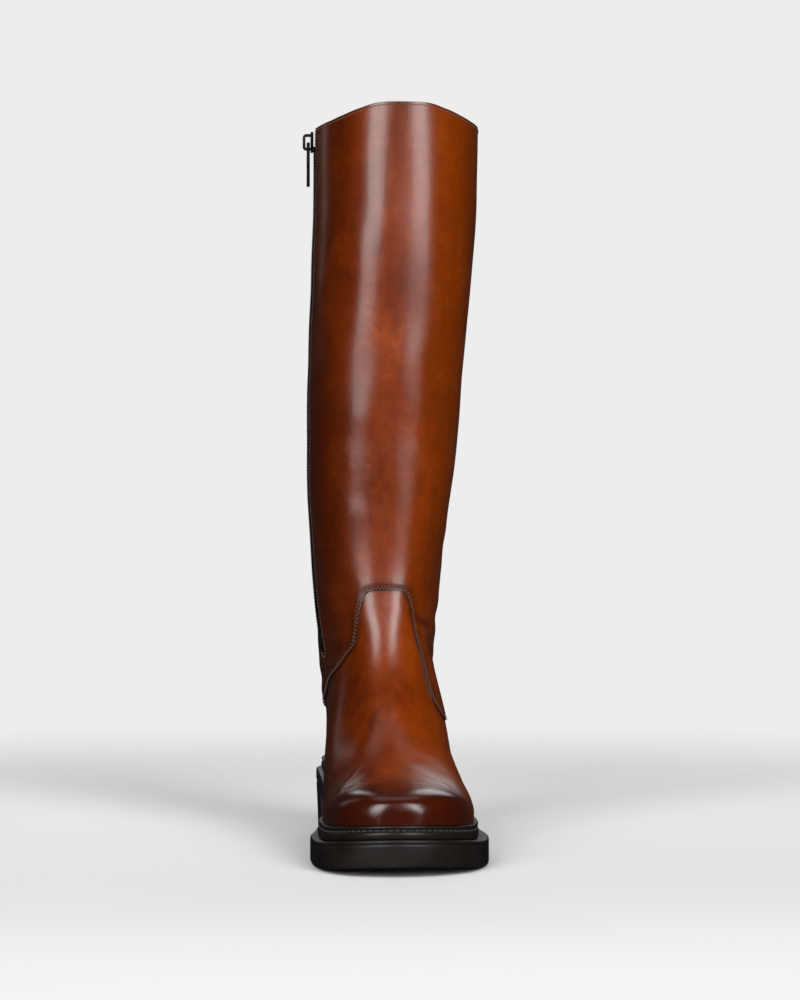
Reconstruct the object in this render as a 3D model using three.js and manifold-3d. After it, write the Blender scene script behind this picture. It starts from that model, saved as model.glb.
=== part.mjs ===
// A left knee-high leather boot on a welted rubber sole, standing empty on its heel and forefoot.
// Millimetres, +Z up, toe towards -Y, outer (lateral) side towards +X, inner (medial) side towards -X.
// The origin is the middle of the heel's ground face.
import * as THREE from 'three';
import { mergeVertices } from 'three/addons/utils/BufferGeometryUtils.js';
import Module from 'manifold-3d';

const wasm = await Module();
wasm.setup();

// Sole sizes
const soleLength = 286;      // back of the heel to the tip of the toe
const heelBack = 36;         // the origin to the back of the heel
const heelLength = 73;       // back of the heel block to its breast
const heelWidth = 76.4;      // outsole at the heel
const ballWidth = 107.6;     // outsole at its widest
const toeShift = 3;          // the toe tip lies this far to the inner side
const heelBlock = 34.6;      // height of the heel block
const heelTaper = 1.4;       // the heel block draws in this much towards the ground
const soleThickness = 15.4;  // outsole under the ball
const soleRounding = 1.6;    // rounded lower edge of the outsole and the heel
const ledgeBevel = 1.1;      // bevel at the outsole's upper edge
const toeSpring = 5.8;       // the toe tip's height over the ground
const weltHeight = 9.6;      // welt band over the outsole's ledge
const innerLedge = 4.5;      // ledge outside the welt, inner side of the ball
const outerLedge = 6.3;      // ledge outside the welt, outer side of the ball
const weltShelf = 3.2;       // the welt reaches this far outside the vamp
const weltHold = 4.4;        // the welt reaches this far under the upper's wall
const insoleThickness = 3;

// Upper sizes
const wall = 1.8;            // leather and lining of the vamp
const lap = 1.2;             // the shaft leather lies this much proud of the vamp
const upperBall = 93.4;      // upper across the ball, at the shaft's level
const ankleHeight = 163;     // ground to the front of the ankle bend
const legHeight = 463;       // ground to the collar's front
const collarDrop = 10.6;     // the collar's sides and back lie this much under its front
const collarWidth = 103.6;
const collarDepth = 132;
const legLean = 11;          // the collar's middle lies this far to the outer side
const legBack = 27.4;        // the origin to the collar's back
const featherDepth = 6;      // the upper's form runs on this far below the welt, and is trimmed off there
const backSeam = 1.2;        // half of the flat strip down the back of the leg
const tongueHeight = 160.6;  // ground to the top of the vamp's tongue
const tongueWidth = 29.6;    // tongue a little under its top
const quarterHeight = 77;    // ground to the seam at the back of the heel

// Zip sizes
const zipBottom = 118;       // ground to the foot of the zip's slot
const slotWidth = 7;
const garageWidth = 10;      // slot beside the slider, up to the collar
const garageLength = 36;
const zipForward = 40;       // the zip lies this far in front of the origin at the collar
const zipDrift = 2.5;        // and this much further back at its foot
const tapeThickness = 0.8;
const tapeDepth = 1.6;       // leather's face to the tape's face
const chainWidth = 4;
const chainProud = 1.1;      // teeth over the leather's face
const sliderDrop = 18.5;     // collar's front to the slider's middle
const sliderLength = 13;
const sliderWidth = 8.6;
const plateThickness = 1.6;
const archProud = 8.1;       // the slider's arch over the leather's face
const archLength = 10.4;
const archWidth = 2.4;
const archStock = 1.7;
const pullLength = 27;       // pivot to the pull's lower end
const pullWidth = 7.6;
const pullStock = 1.8;
const pullBar = 1.6;         // thickness of the bar that hangs under the arch
const pullHole = 1.5;        // radius of the hole near the pull's end

const fit = 0.3;             // clearance between pieces that touch
const curvedFit = 0.45;      // clearance where both faces curve along the foot

// Cutting forms run this far beyond the boot
const beyond = legHeight + soleLength;

// Outline of the outsole seen from above. at is a share of soleLength from the back of the heel,
// inner and outer are shares of the width named in of.
const soleOutline = [
  { at: 0.0095, inner: 0.225, outer: 0.225, of: heelWidth },
  { at: 0.0385, inner: 0.393, outer: 0.393, of: heelWidth },
  { at: 0.091, inner: 0.484, outer: 0.489, of: heelWidth },
  { at: 0.161, inner: 0.5, outer: 0.508, of: heelWidth },
  { at: 0.266, inner: 0.489, outer: 0.528, of: heelWidth },
  { at: 0.371, inner: 0.336, outer: 0.41, of: ballWidth },
  { at: 0.4755, inner: 0.36, outer: 0.466, of: ballWidth },
  { at: 0.563, inner: 0.413, outer: 0.513, of: ballWidth },
  { at: 0.65, inner: 0.456, outer: 0.535, of: ballWidth },
  { at: 0.713, inner: 0.464, outer: 0.53, of: ballWidth },
  { at: 0.79, inner: 0.455, outer: 0.502, of: ballWidth },
  { at: 0.86, inner: 0.43, outer: 0.449, of: ballWidth },
  { at: 0.923, inner: 0.374, outer: 0.366, of: ballWidth },
  { at: 0.965, inner: 0.29, outer: 0.254, of: ballWidth },
  { at: 0.991, inner: 0.164, outer: 0.122, of: ballWidth },
];

// Side view of the sole. rise is a share of heelBlock and spring of toeSpring, together the underside;
// thick is a share of soleThickness, band of weltHeight; inner and outer are shares of the ledges there.
const soleProfile = [
  { at: 0, rise: 1, spring: 0, thick: 0.55, band: 0.74, inner: 0.73, outer: 0.53 },
  { at: 0.126, rise: 0.992, spring: 0, thick: 0.55, band: 0.74, inner: 0.73, outer: 0.53 },
  { at: 0.213, rise: 0.94, spring: 0, thick: 0.57, band: 0.74, inner: 0.72, outer: 0.54 },
  { at: 0.3, rise: 0.77, spring: 0, thick: 0.65, band: 0.77, inner: 0.7, outer: 0.56 },
  { at: 0.388, rise: 0.52, spring: 0, thick: 0.75, band: 0.83, inner: 0.7, outer: 0.62 },
  { at: 0.4755, rise: 0.25, spring: 0, thick: 0.85, band: 0.91, inner: 0.8, outer: 0.75 },
  { at: 0.545, rise: 0.075, spring: 0, thick: 0.95, band: 0.98, inner: 0.92, outer: 0.9 },
  { at: 0.6, rise: 0, spring: 0, thick: 1, band: 1, inner: 1, outer: 1 },
  { at: 0.685, rise: 0, spring: 0, thick: 1, band: 1, inner: 1, outer: 1 },
  { at: 0.775, rise: 0, spring: 0, thick: 1.01, band: 0.98, inner: 1.02, outer: 0.97 },
  { at: 0.843, rise: 0, spring: 0.13, thick: 1.03, band: 0.95, inner: 1.05, outer: 0.9 },
  { at: 0.913, rise: 0, spring: 0.45, thick: 1.05, band: 0.91, inner: 1.1, outer: 0.82 },
  { at: 1, rise: 0, spring: 1, thick: 1.07, band: 0.85, inner: 1.1, outer: 0.8 },
];

// Face of the welt from the ledge up: up is a share of the band's height, in is millimetres behind the
// welt's edge. A convex band, the groove of the stitches, and the rounded rib beside the upper.
const weltFace = [
  { up: 0.03, in: 0.5 },
  { up: 0.14, in: 0.05 },
  { up: 0.34, in: 0 },
  { up: 0.54, in: 0.35 },
  { up: 0.6, in: 1.3 },
  { up: 0.7, in: 1.3 },
  { up: 0.76, in: 0.45 },
  { up: 0.88, in: 0.3 },
  { up: 0.98, in: 1 },
  { up: 1, in: 1.9 },
];

// Sections of the foot from the toe back. ridge and base are shares of soleLength in front of the
// heel's back, where the section's plane meets the top of the foot and the sole. top is a share of
// ankleHeight, inner and outer are the widest reach as shares of upperBall, or 0 where the section is
// as wide as the sole lets it be. widest is where that lies between ridge (0) and base (1), and round
// and tuck are the exponents of the curve over and under it.
const footSections = [
  { ridge: 0.9705, base: 0.9705, top: 0.208, inner: 0, outer: 0, widest: 0.5, round: 2.1, tuck: 2 },
  { ridge: 0.9675, base: 0.9675, top: 0.238, inner: 0, outer: 0, widest: 0.55, round: 2.3, tuck: 2 },
  { ridge: 0.958, base: 0.96, top: 0.262, inner: 0, outer: 0, widest: 0.58, round: 2.45, tuck: 2 },
  { ridge: 0.938, base: 0.942, top: 0.281, inner: 0, outer: 0, widest: 0.6, round: 2.5, tuck: 2 },
  { ridge: 0.9, base: 0.907, top: 0.298, inner: 0, outer: 0, widest: 0.62, round: 2.45, tuck: 2 },
  { ridge: 0.847, base: 0.855, top: 0.309, inner: 0, outer: 0, widest: 0.64, round: 2.35, tuck: 2 },
  { ridge: 0.785, base: 0.79, top: 0.32, inner: 0, outer: 0, widest: 0.66, round: 2.2, tuck: 2 },
  { ridge: 0.723, base: 0.72, top: 0.3475, inner: 0, outer: 0, widest: 0.7, round: 2.05, tuck: 2 },
  { ridge: 0.66, base: 0.643, top: 0.4, inner: 0.456, outer: 0.517, widest: 0.74, round: 1.9, tuck: 2 },
  { ridge: 0.6, base: 0.552, top: 0.48, inner: 0.443, outer: 0.478, widest: 0.72, round: 1.8, tuck: 2 },
  { ridge: 0.547, base: 0.448, top: 0.58, inner: 0.424, outer: 0.452, widest: 0.62, round: 1.8, tuck: 2 },
  { ridge: 0.503, base: 0.318, top: 0.69, inner: 0.395, outer: 0.437, widest: 0.56, round: 1.9, tuck: 2.1 },
  { ridge: 0.474, base: 0.196, top: 0.795, inner: 0.368, outer: 0.4, widest: 0.53, round: 2.05, tuck: 2.2 },
  { ridge: 0.46, base: 0.098, top: 0.862, inner: 0.361, outer: 0.378, widest: 0.54, round: 2.3, tuck: 2.3 },
  { ridge: 0.453, base: 0.05, top: 0.906, inner: 0.357, outer: 0.362, widest: 0.56, round: 2.6, tuck: 2.3 },
  { ridge: 0.449, base: 0.0235, top: 0.942, inner: 0.359, outer: 0.356, widest: 0.57, round: 2.8, tuck: 2.2 },
];

// Sections of the heel's back and the leg. front and back are shares of collarDepth in front of the
// collar's back line; up and rear are heights over the ankle as shares of the leg over it, negative
// below it. inner and outer are shares of collarWidth from the leaning middle line, lean of legLean.
const legSections = [
  {
    front: 0.9, back: -0.028, up: -0.018, rear: -0.37,
    inner: 0.335, outer: 0.328, lean: 0, widest: 0.57, round: 2.75,
  },
  {
    front: 0.895, back: -0.034, up: 0, rear: -0.33,
    inner: 0.346, outer: 0.335, lean: 0, widest: 0.56, round: 2.75,
  },
  {
    front: 0.891, back: -0.024, up: 0.02, rear: -0.27,
    inner: 0.361, outer: 0.344, lean: 0, widest: 0.54, round: 2.75,
  },
  {
    front: 0.889, back: 0.01, up: 0.047, rear: -0.2,
    inner: 0.377, outer: 0.357, lean: 0, widest: 0.52, round: 2.7,
  },
  {
    front: 0.888, back: 0.044, up: 0.083, rear: -0.117,
    inner: 0.394, outer: 0.373, lean: 0.02, widest: 0.5, round: 2.65,
  },
  {
    front: 0.891, back: 0.06, up: 0.133, rear: -0.017,
    inner: 0.411, outer: 0.39, lean: 0.03, widest: 0.49, round: 2.55,
  },
  {
    front: 0.897, back: 0.052, up: 0.207, rear: 0.097,
    inner: 0.422, outer: 0.422, lean: 0.05, widest: 0.48, round: 2.5,
  },
  {
    front: 0.912, back: 0.022, up: 0.317, rear: 0.24,
    inner: 0.452, outer: 0.459, lean: 0.17, widest: 0.47, round: 2.5,
  },
  {
    front: 0.939, back: -0.008, up: 0.457, rear: 0.4,
    inner: 0.466, outer: 0.472, lean: 0.35, widest: 0.47, round: 2.45,
  },
  {
    front: 0.965, back: -0.023, up: 0.607, rear: 0.567,
    inner: 0.478, outer: 0.483, lean: 0.63, widest: 0.475, round: 2.45,
  },
  {
    front: 0.986, back: -0.019, up: 0.757, rear: 0.723,
    inner: 0.489, outer: 0.496, lean: 0.86, widest: 0.48, round: 2.4,
  },
  {
    front: 0.998, back: -0.006, up: 0.89, rear: 0.857,
    inner: 0.496, outer: 0.501, lean: 0.96, widest: 0.485, round: 2.25,
  },
  {
    front: 1.005, back: 0.003, up: 1.03, rear: 1.0,
    inner: 0.5, outer: 0.5, lean: 1.03, widest: 0.49, round: 2.2,
  },
];
const legTuck = 2.1;

// The seam of the shaft over the vamp, seen from the front: across is a share of half the tongue's
// width from the middle, towards the inner side if negative, down a share of tongueHeight.
const tongueEdge = [
  { across: -5.4, down: 0.36 },
  { across: -2.7, down: 0.357 },
  { across: -2.28, down: 0.352 },
  { across: -2.1, down: 0.327 },
  { across: -1.61, down: 0.255 },
  { across: -1.3, down: 0.214 },
  { across: -1.18, down: 0.162 },
  { across: -1.1, down: 0.096 },
  { across: -0.98, down: 0.045 },
  { across: -0.8, down: 0.014 },
  { across: -0.6, down: 0.004 },
  { across: 0, down: 0 },
  { across: 0.68, down: 0.004 },
  { across: 0.87, down: 0.014 },
  { across: 1.02, down: 0.04 },
  { across: 1.14, down: 0.09 },
  { across: 1.26, down: 0.162 },
  { across: 1.53, down: 0.25 },
  { across: 1.76, down: 0.356 },
  { across: 2.08, down: 0.435 },
  { across: 2.74, down: 0.512 },
  { across: 3.4, down: 0.53 },
  { across: 5.4, down: 0.54 },
];

// The collar's line from its front to its back: along is a share of collarDepth, drop of collarDrop.
const collarLine = [
  { along: -0.2, drop: 0 },
  { along: 0, drop: 0 },
  { along: 0.05, drop: 0.3 },
  { along: 0.13, drop: 0.66 },
  { along: 0.22, drop: 0.87 },
  { along: 0.36, drop: 0.97 },
  { along: 0.55, drop: 1 },
  { along: 1.4, drop: 1 },
];

// How finely the forms are drawn
const soleStations = 29;
const ridgeSteps = 7;
const baseSteps = 5;
const sectionsPerRow = 2;
const zipStations = 26;
const trimSteps = 56;
const insoleSteps = 26;

// A smooth value through a column of a table, at a place counted in rows
function through(rows, column, place) {
  const last = rows.length - 1;
  const row = Math.min(Math.max(Math.floor(place), 0), last - 1);
  const t = place - row;
  const value = (index) => {
    if (index < 0) return 2 * rows[0][column] - rows[1][column];
    if (index > last) return 2 * rows[last][column] - rows[last - 1][column];
    return rows[index][column];
  };
  const [a, b, c, d] = [value(row - 1), value(row), value(row + 1), value(row + 2)];
  const bend = 2 * a - 5 * b + 4 * c - d;
  return b + 0.5 * t * (c - a + t * (bend + t * (3 * (b - c) + d - a)));
}

// A value between the rows of a table, by the rows' own key column, that never swings past them
function along(rows, key, column, x) {
  const last = rows.length - 1;
  if (x <= rows[0][key]) return rows[0][column];
  if (x >= rows[last][key]) return rows[last][column];
  let i = 0;
  while (rows[i + 1][key] < x) i += 1;
  const slope = (j) => {
    const k = Math.min(Math.max(j, 0), last - 1);
    return (rows[k + 1][column] - rows[k][column]) / (rows[k + 1][key] - rows[k][key]);
  };
  const tangent = (j) => {
    const before = slope(j - 1);
    const after = slope(j);
    return before * after <= 0 ? 0 : (2 * before * after) / (before + after);
  };
  const width = rows[i + 1][key] - rows[i][key];
  const t = (x - rows[i][key]) / width;
  const start = (1 + 2 * t) * (1 - t) * (1 - t) * rows[i][column];
  const end = t * t * (3 - 2 * t) * rows[i + 1][column];
  const swing = t * (1 - t) * ((1 - t) * tangent(i) - t * tangent(i + 1));
  return start + end + width * swing;
}

// Place along the foot from the share of the sole's length, and back
const soleY = (share) => heelBack - share * soleLength;
const soleShare = (y) => (heelBack - y) / soleLength;

// Heights of the sole at a place along the foot
function soleHeights(y) {
  const at = soleShare(y);
  const column = (name) => along(soleProfile, 'at', name, at);
  const bottom = column('rise') * heelBlock + column('spring') * toeSpring;
  const ledge = bottom + column('thick') * soleThickness;
  return { bottom, ledge, welt: ledge + column('band') * weltHeight };
}

// The ledge's width outside the welt, on the inner (-1) or outer (1) side
function ledgeWidth(y, side) {
  const at = soleShare(y);
  const blend = 0.5 + 0.5 * side;
  const inner = along(soleProfile, 'at', 'inner', at) * innerLedge;
  const outer = along(soleProfile, 'at', 'outer', at) * outerLedge;
  return inner + (outer - inner) * blend;
}

// The outsole's outline as a closed curve, inner side first
function outlineCurve() {
  const inner = soleOutline.map((row) => new THREE.Vector3(-row.inner * row.of, soleY(row.at), 0));
  const outer = soleOutline.map((row) => new THREE.Vector3(row.outer * row.of, soleY(row.at), 0));
  const back = new THREE.Vector3(0, soleY(0), 0);
  const toe = new THREE.Vector3(-toeShift, soleY(1), 0);
  return new THREE.CatmullRomCurve3([back, ...inner, toe, ...outer.reverse()], true, 'centripetal');
}

const outlineSamples = outlineCurve().getSpacedPoints(720).slice(0, -1);

// The outline drawn in by a distance, as one chain of points for each side, from the heel to the toe
function drawnIn(distance) {
  const count = outlineSamples.length;
  const moved = outlineSamples.map((point, k) => {
    const before = outlineSamples[(k + count - 1) % count];
    const after = outlineSamples[(k + 1) % count];
    const tangent = after.clone().sub(before).normalize();
    const side = Math.max(-1, Math.min(1, tangent.y * 1.6));
    const inward = new THREE.Vector3(-tangent.y, tangent.x, 0);
    return point.clone().addScaledVector(inward, distance(point.y, side));
  });
  const ys = moved.map((point) => point.y);
  const back = ys.indexOf(Math.max(...ys));
  const toe = ys.indexOf(Math.min(...ys));
  const walk = (from, to) => {
    const chain = [];
    for (let k = from; k !== to; k = (k + 1) % count) chain.push(moved[k]);
    chain.push(moved[to]);
    return chain;
  };
  return { inner: walk(back, toe), outer: walk(toe, back).reverse(), back: moved[back].y, toe: moved[toe].y };
}

// Where a chain crosses a place along the foot
function chainX(chain, y) {
  let low = 0;
  let high = chain.length - 1;
  if (y >= chain[low].y) return chain[low].x;
  if (y <= chain[high].y) return chain[high].x;
  while (high - low > 1) {
    const middle = (low + high) >> 1;
    if (chain[middle].y > y) low = middle;
    else high = middle;
  }
  const t = (chain[low].y - y) / (chain[low].y - chain[high].y);
  return chain[low].x + t * (chain[high].x - chain[low].x);
}

// A ring of points round the sole: down the inner side and back up the outer side
function soleRing(inset, height, shares = fullShares) {
  const outline = drawnIn(inset);
  const ys = shares.map((share) => outline.back + share * (outline.toe - outline.back));
  const inner = ys.map((y) => new THREE.Vector3(chainX(outline.inner, y), y, height(y)));
  const outer = ys.map((y) => new THREE.Vector3(chainX(outline.outer, y), y, height(y)));
  return [...inner, ...outer.reverse()];
}

// Shares of an outline's length, close together at the rounded ends
const fullShares = Array.from({ length: soleStations }, (_, k) => {
  return 0.5 - 0.5 * Math.cos((Math.PI * (k + 0.4)) / (soleStations - 0.2));
});

// A closed mesh through rings of equal count. Without loop, strips across the first and last ring
// close it; with loop, the last ring joins the first.
function skin(rings, loop = false) {
  const count = rings[0].length;
  const positions = rings.flat().flatMap((point) => [point.x, point.y, point.z]);
  const triangles = [];
  const bands = loop ? rings.length : rings.length - 1;
  for (let i = 0; i < bands; i += 1) {
    const from = i * count;
    const to = ((i + 1) % rings.length) * count;
    for (let k = 0; k < count; k += 1) {
      const next = (k + 1) % count;
      triangles.push(from + k, from + next, to + next, from + k, to + next, to + k);
    }
  }
  const cap = (start, flip) => {
    for (let k = 0; k < count / 2 - 1; k += 1) {
      const [a, b] = [start + k, start + k + 1];
      const [c, d] = [start + count - 2 - k, start + count - 1 - k];
      if (flip) triangles.push(a, b, c, a, c, d);
      else triangles.push(a, c, b, a, d, c);
    }
  };
  if (!loop) {
    cap(0, false);
    cap((rings.length - 1) * count, true);
  }
  return solidOf(positions, triangles);
}

// A solid from positions and triangles, turned so that it holds volume
function solidOf(positions, triangles) {
  const build = (order) => {
    return new wasm.Manifold(new wasm.Mesh({
      numProp: 3,
      vertProperties: new Float32Array(positions),
      triVerts: new Uint32Array(order),
    }));
  };
  const first = build(triangles);
  if (first.volume() > 0) return first;
  const turned = [];
  for (let k = 0; k < triangles.length; k += 3) turned.push(triangles[k], triangles[k + 2], triangles[k + 1]);
  return build(turned);
}

// A solid from a closed three.js geometry
function solidFrom(geometry) {
  const bare = geometry.index ? geometry.toNonIndexed() : geometry.clone();
  bare.deleteAttribute('normal');
  bare.deleteAttribute('uv');
  const merged = mergeVertices(bare, 1e-4);
  return solidOf(Array.from(merged.attributes.position.array), Array.from(merged.index.array));
}

// A prism across the foot from an outline in the side view
function sidePrism(points, halfWidth) {
  const shape = new THREE.Shape(points.map(([y, z]) => new THREE.Vector2(y, z)));
  const geometry = new THREE.ExtrudeGeometry(shape, { depth: 2 * halfWidth, bevelEnabled: false });
  geometry.translate(0, 0, -halfWidth);
  geometry.applyMatrix4(new THREE.Matrix4().set(0, 0, 1, 0, 1, 0, 0, 0, 0, 1, 0, 0, 0, 0, 0, 1));
  return solidFrom(geometry);
}

// Everything between two heights that follow the sole's length, from the toe to the heel
function soleSlab(low, high, steps) {
  const ys = Array.from({ length: steps + 1 }, (_, k) => {
    return soleY(1) - heelBack + (k / steps) * (soleLength + 2 * heelBack);
  });
  const under = ys.map((y) => [y, low(y)]);
  const over = ys.map((y) => [y, high(y)]);
  return sidePrism([...under, ...over.reverse()], beyond);
}

// Sections of the upper

const featherInset = (y, side) => ledgeWidth(y, side) + weltShelf - lap;
const feather = drawnIn(featherInset);

// One row of numbers for each section, foot and leg alike
function upperRows() {
  const foot = footSections.map((row) => {
    const baseY = soleY(row.base);
    const innerSole = -chainX(feather.inner, baseY);
    const outerSole = chainX(feather.outer, baseY);
    return {
      ridgeX: -toeShift * Math.min(1, Math.max(0, (row.ridge - 0.5) * 2.2)),
      ridgeY: soleY(row.ridge),
      ridgeZ: row.top * ankleHeight,
      baseY,
      baseZ: soleHeights(baseY).welt - featherDepth,
      inner: row.inner ? row.inner * upperBall : innerSole + 0.8,
      outer: row.outer ? row.outer * upperBall : outerSole + 0.8,
      widest: row.widest,
      round: row.round,
      tuck: row.tuck,
      onSole: 1,
    };
  });
  const overAnkle = legHeight - ankleHeight;
  const leg = legSections.map((row) => {
    const middle = row.lean * legLean;
    return {
      ridgeX: middle,
      ridgeY: legBack - row.front * collarDepth,
      ridgeZ: ankleHeight + row.up * overAnkle,
      baseY: legBack - row.back * collarDepth,
      baseZ: ankleHeight + row.rear * overAnkle,
      inner: row.inner * collarWidth - middle,
      outer: row.outer * collarWidth + middle,
      widest: row.widest,
      round: row.round,
      tuck: legTuck,
      onSole: 0,
    };
  });
  return [...foot, ...leg];
}

const sectionRows = upperRows();

// The half of a section from the ridge to the base, on the inner (-1) or outer (1) side, base drawn
// out beyond the trim by spare
function halfSection(place, side) {
  const at = (column) => through(sectionRows, column, place);
  const [ridgeX, ridgeY, ridgeZ] = [at('ridgeX'), at('ridgeY'), at('ridgeZ')];
  const [baseY, baseZ] = [at('baseY'), at('baseZ')];
  const onSole = Math.min(1, Math.max(0, at('onSole')));
  const soleEdge = side < 0 ? -chainX(feather.inner, baseY) : chainX(feather.outer, baseY);
  const middle = ridgeX * (1 - onSole);
  const strip = backSeam + side * middle;
  const foot = strip + (Math.max(backSeam, soleEdge) - strip) * onSole;
  const wide = Math.max(side < 0 ? at('inner') : at('outer'), foot + 0.2);
  const [widest, over, under] = [at('widest'), 2 / at('round'), 2 / at('tuck')];
  const point = (share, reachOut) => new THREE.Vector3(
    side * reachOut,
    ridgeY + share * (baseY - ridgeY),
    ridgeZ + share * (baseZ - ridgeZ),
  );
  const points = [];
  const start = side * ridgeX;
  for (let k = 0; k < ridgeSteps; k += 1) {
    const turn = ((k + 0.5) / (ridgeSteps + 0.5)) * (Math.PI / 2);
    const out = start + (wide - start) * Math.sin(turn) ** over;
    points.push(point(widest * (1 - Math.cos(turn) ** over), out));
  }
  points.push(point(widest, wide));
  for (let k = 1; k <= baseSteps; k += 1) {
    const turn = (k / baseSteps) * (Math.PI / 2);
    const share = widest + (1 - widest) * Math.sin(turn) ** under;
    points.push(point(share, foot + (wide - foot) * Math.cos(turn) ** under));
  }
  return points;
}

// All sections of the upper at the shaft's level
function upperRings() {
  const rings = [];
  const steps = (sectionRows.length - 1) * sectionsPerRow;
  for (let k = 0; k <= steps; k += 1) {
    const place = k / sectionsPerRow;
    rings.push([...halfSection(place, -1), ...halfSection(place, 1).reverse()]);
  }
  return rings;
}

// The outward direction of the upper at each point of its rings
function ringNormals(rings) {
  const count = rings[0].length;
  const half = count / 2;
  return rings.map((ring, i) => ring.map((_, k) => {
    const before = rings[Math.max(i - 1, 0)][k];
    const after = rings[Math.min(i + 1, rings.length - 1)][k];
    const atBase = k === half - 1 || k === half;
    const last = atBase && k === half - 1 ? ring[k] : ring[(k + 1) % count];
    const first = atBase && k === half ? ring[k] : ring[(k + count - 1) % count];
    const across = after.clone().sub(before);
    return across.cross(last.clone().sub(first)).normalize();
  }));
}

const shaftRings = upperRings();
const shaftNormals = ringNormals(shaftRings);

// The upper's form drawn in by a depth, its base lowered so that a cut goes right through
function upperForm(depth, lowered = 0) {
  const half = shaftRings[0].length / 2;
  const rings = shaftRings.map((ring, i) => ring.map((point, k) => {
    const moved = point.clone().addScaledVector(shaftNormals[i][k], -depth);
    const onSole = through(sectionRows, 'onSole', i / sectionsPerRow) > 0.5;
    if (onSole && (k === half - 1 || k === half)) moved.z -= lowered;
    return moved;
  }));
  return skin(rings);
}

// Height of the seam between vamp and shaft over a place seen from above
function seamHeight(x, y) {
  const across = (x / tongueWidth) * 2;
  const front = tongueHeight * (1 - along(tongueEdge, 'across', 'down', across));
  const sweepFrom = legBack - 0.74 * collarDepth;
  const t = Math.min(1, Math.max(0, (y - sweepFrom) / (legBack - sweepFrom)));
  return front + (quarterHeight - front) * t * t * (3 - 2 * t);
}

// Everything over the seam
function overSeam() {
  const edge = tongueEdge.map((row) => (row.across * tongueWidth) / 2);
  const xs = [-beyond];
  edge.forEach((x, k) => {
    if (k > 0) xs.push((edge[k - 1] + x) / 2);
    xs.push(x);
  });
  xs.push(beyond);
  const sweep = Array.from({ length: 13 }, (_, k) => legBack - (0.74 - (0.74 * k) / 12) * collarDepth);
  const ys = [-beyond, ...sweep, beyond];
  const rings = xs.map((x) => {
    const low = ys.map((y) => new THREE.Vector3(x, y, seamHeight(x, y)));
    const high = ys.map((y) => new THREE.Vector3(x, y, legHeight + 60));
    return [...low, ...high.reverse()];
  });
  return skin(rings);
}

// Everything over the collar's line
function overCollar() {
  const front = legBack - collarDepth;
  const line = [];
  const steps = 32;
  for (let k = 0; k <= steps; k += 1) {
    const share = -0.2 + (1.6 * k) / steps;
    const drop = along(collarLine, 'along', 'drop', share) * collarDrop;
    line.push([front + share * collarDepth, legHeight - drop]);
  }
  const [first, last] = [line[0], line[line.length - 1]];
  return sidePrism([...line, [last[0], legHeight + 100], [first[0], legHeight + 100]], beyond);
}

// The leather's face on the inner side of the leg, found on the shaft's form
const shaftTriangles = (() => {
  const mesh = upperForm(0).getMesh();
  const triangles = [];
  for (let k = 0; k < mesh.triVerts.length; k += 3) {
    const corners = [0, 1, 2].map((n) => {
      const v = mesh.triVerts[k + n] * mesh.numProp;
      return new THREE.Vector3(...mesh.vertProperties.slice(v, v + 3));
    });
    if (corners.some((corner) => corner.x < 0 && corner.z > zipBottom / 2)) triangles.push(corners);
  }
  return triangles;
})();

function leatherX(y, z) {
  const ray = new THREE.Ray(new THREE.Vector3(-beyond, y, z), new THREE.Vector3(1, 0, 0));
  let nearest = Infinity;
  const hit = new THREE.Vector3();
  shaftTriangles.forEach(([a, b, c]) => {
    if (ray.intersectTriangle(a, b, c, false, hit)) nearest = Math.min(nearest, hit.x);
  });
  return nearest;
}

const collarSide = legHeight - collarDrop;
const zipY = (z) => -zipForward + zipDrift * ((collarSide - z) / (collarSide - zipBottom));
const slotHalf = (z) => {
  const t = Math.min(1, Math.max(0, (z - (collarSide - garageLength - slotWidth)) / slotWidth));
  return 0.5 * (slotWidth + (garageWidth - slotWidth) * t);
};

// A strip that follows the zip's line, from depth near to depth far under the leather's face
function zipStrip(bottom, top, half, near, far) {
  const rings = [];
  for (let k = 0; k <= zipStations; k += 1) {
    const z = bottom + ((top - bottom) * k) / zipStations;
    const y = zipY(z);
    const face = leatherX(y, Math.min(z, collarSide + 4));
    const corner = (side, depth) => new THREE.Vector3(face + depth, y + side * half(z), z);
    rings.push([corner(-1, near), corner(-1, far), corner(1, far), corner(1, near)]);
  }
  return skin(rings);
}

// Pieces of the sole

function outsole() {
  const heights = (pick) => (y) => pick(soleHeights(y));
  const plateau = (y, side) => ledgeWidth(y, side) + weltShelf + weltHold + fit;
  return skin([
    soleRing(() => soleRounding, heights((h) => h.bottom)),
    soleRing(() => 0.3 * soleRounding, heights((h) => h.bottom + 0.3 * soleRounding)),
    soleRing(() => 0, heights((h) => h.bottom + soleRounding)),
    soleRing(() => 0, heights((h) => h.ledge - 1.6 * ledgeBevel)),
    soleRing(() => 0.35 * ledgeBevel, heights((h) => h.ledge - 1.1 * ledgeBevel)),
    soleRing(() => 0.1 * ledgeBevel, heights((h) => h.ledge - 0.9 * ledgeBevel)),
    soleRing(() => ledgeBevel, heights((h) => h.ledge)),
    soleRing(plateau, heights((h) => h.ledge)),
    soleRing(plateau, heights((h) => h.welt)),
  ]);
}

function heel() {
  const shareOfBreast = heelLength / soleLength;
  const steps = 13;
  const shares = Array.from({ length: steps + 1 }, (_, k) => {
    return shareOfBreast * (1 - Math.cos((0.5 * Math.PI * (k + 0.4)) / (steps + 0.4)));
  });
  const top = (y) => soleHeights(y).bottom - fit;
  const ring = (inset, height) => soleRing(() => inset, height, shares);
  return skin([
    ring(heelTaper + soleRounding, () => 0),
    ring(heelTaper + 0.3 * soleRounding, () => 0.3 * soleRounding),
    ring(heelTaper, () => soleRounding),
    ring(0.3, (y) => top(y) - 0.6),
    ring(0.9, top),
  ]);
}

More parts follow.
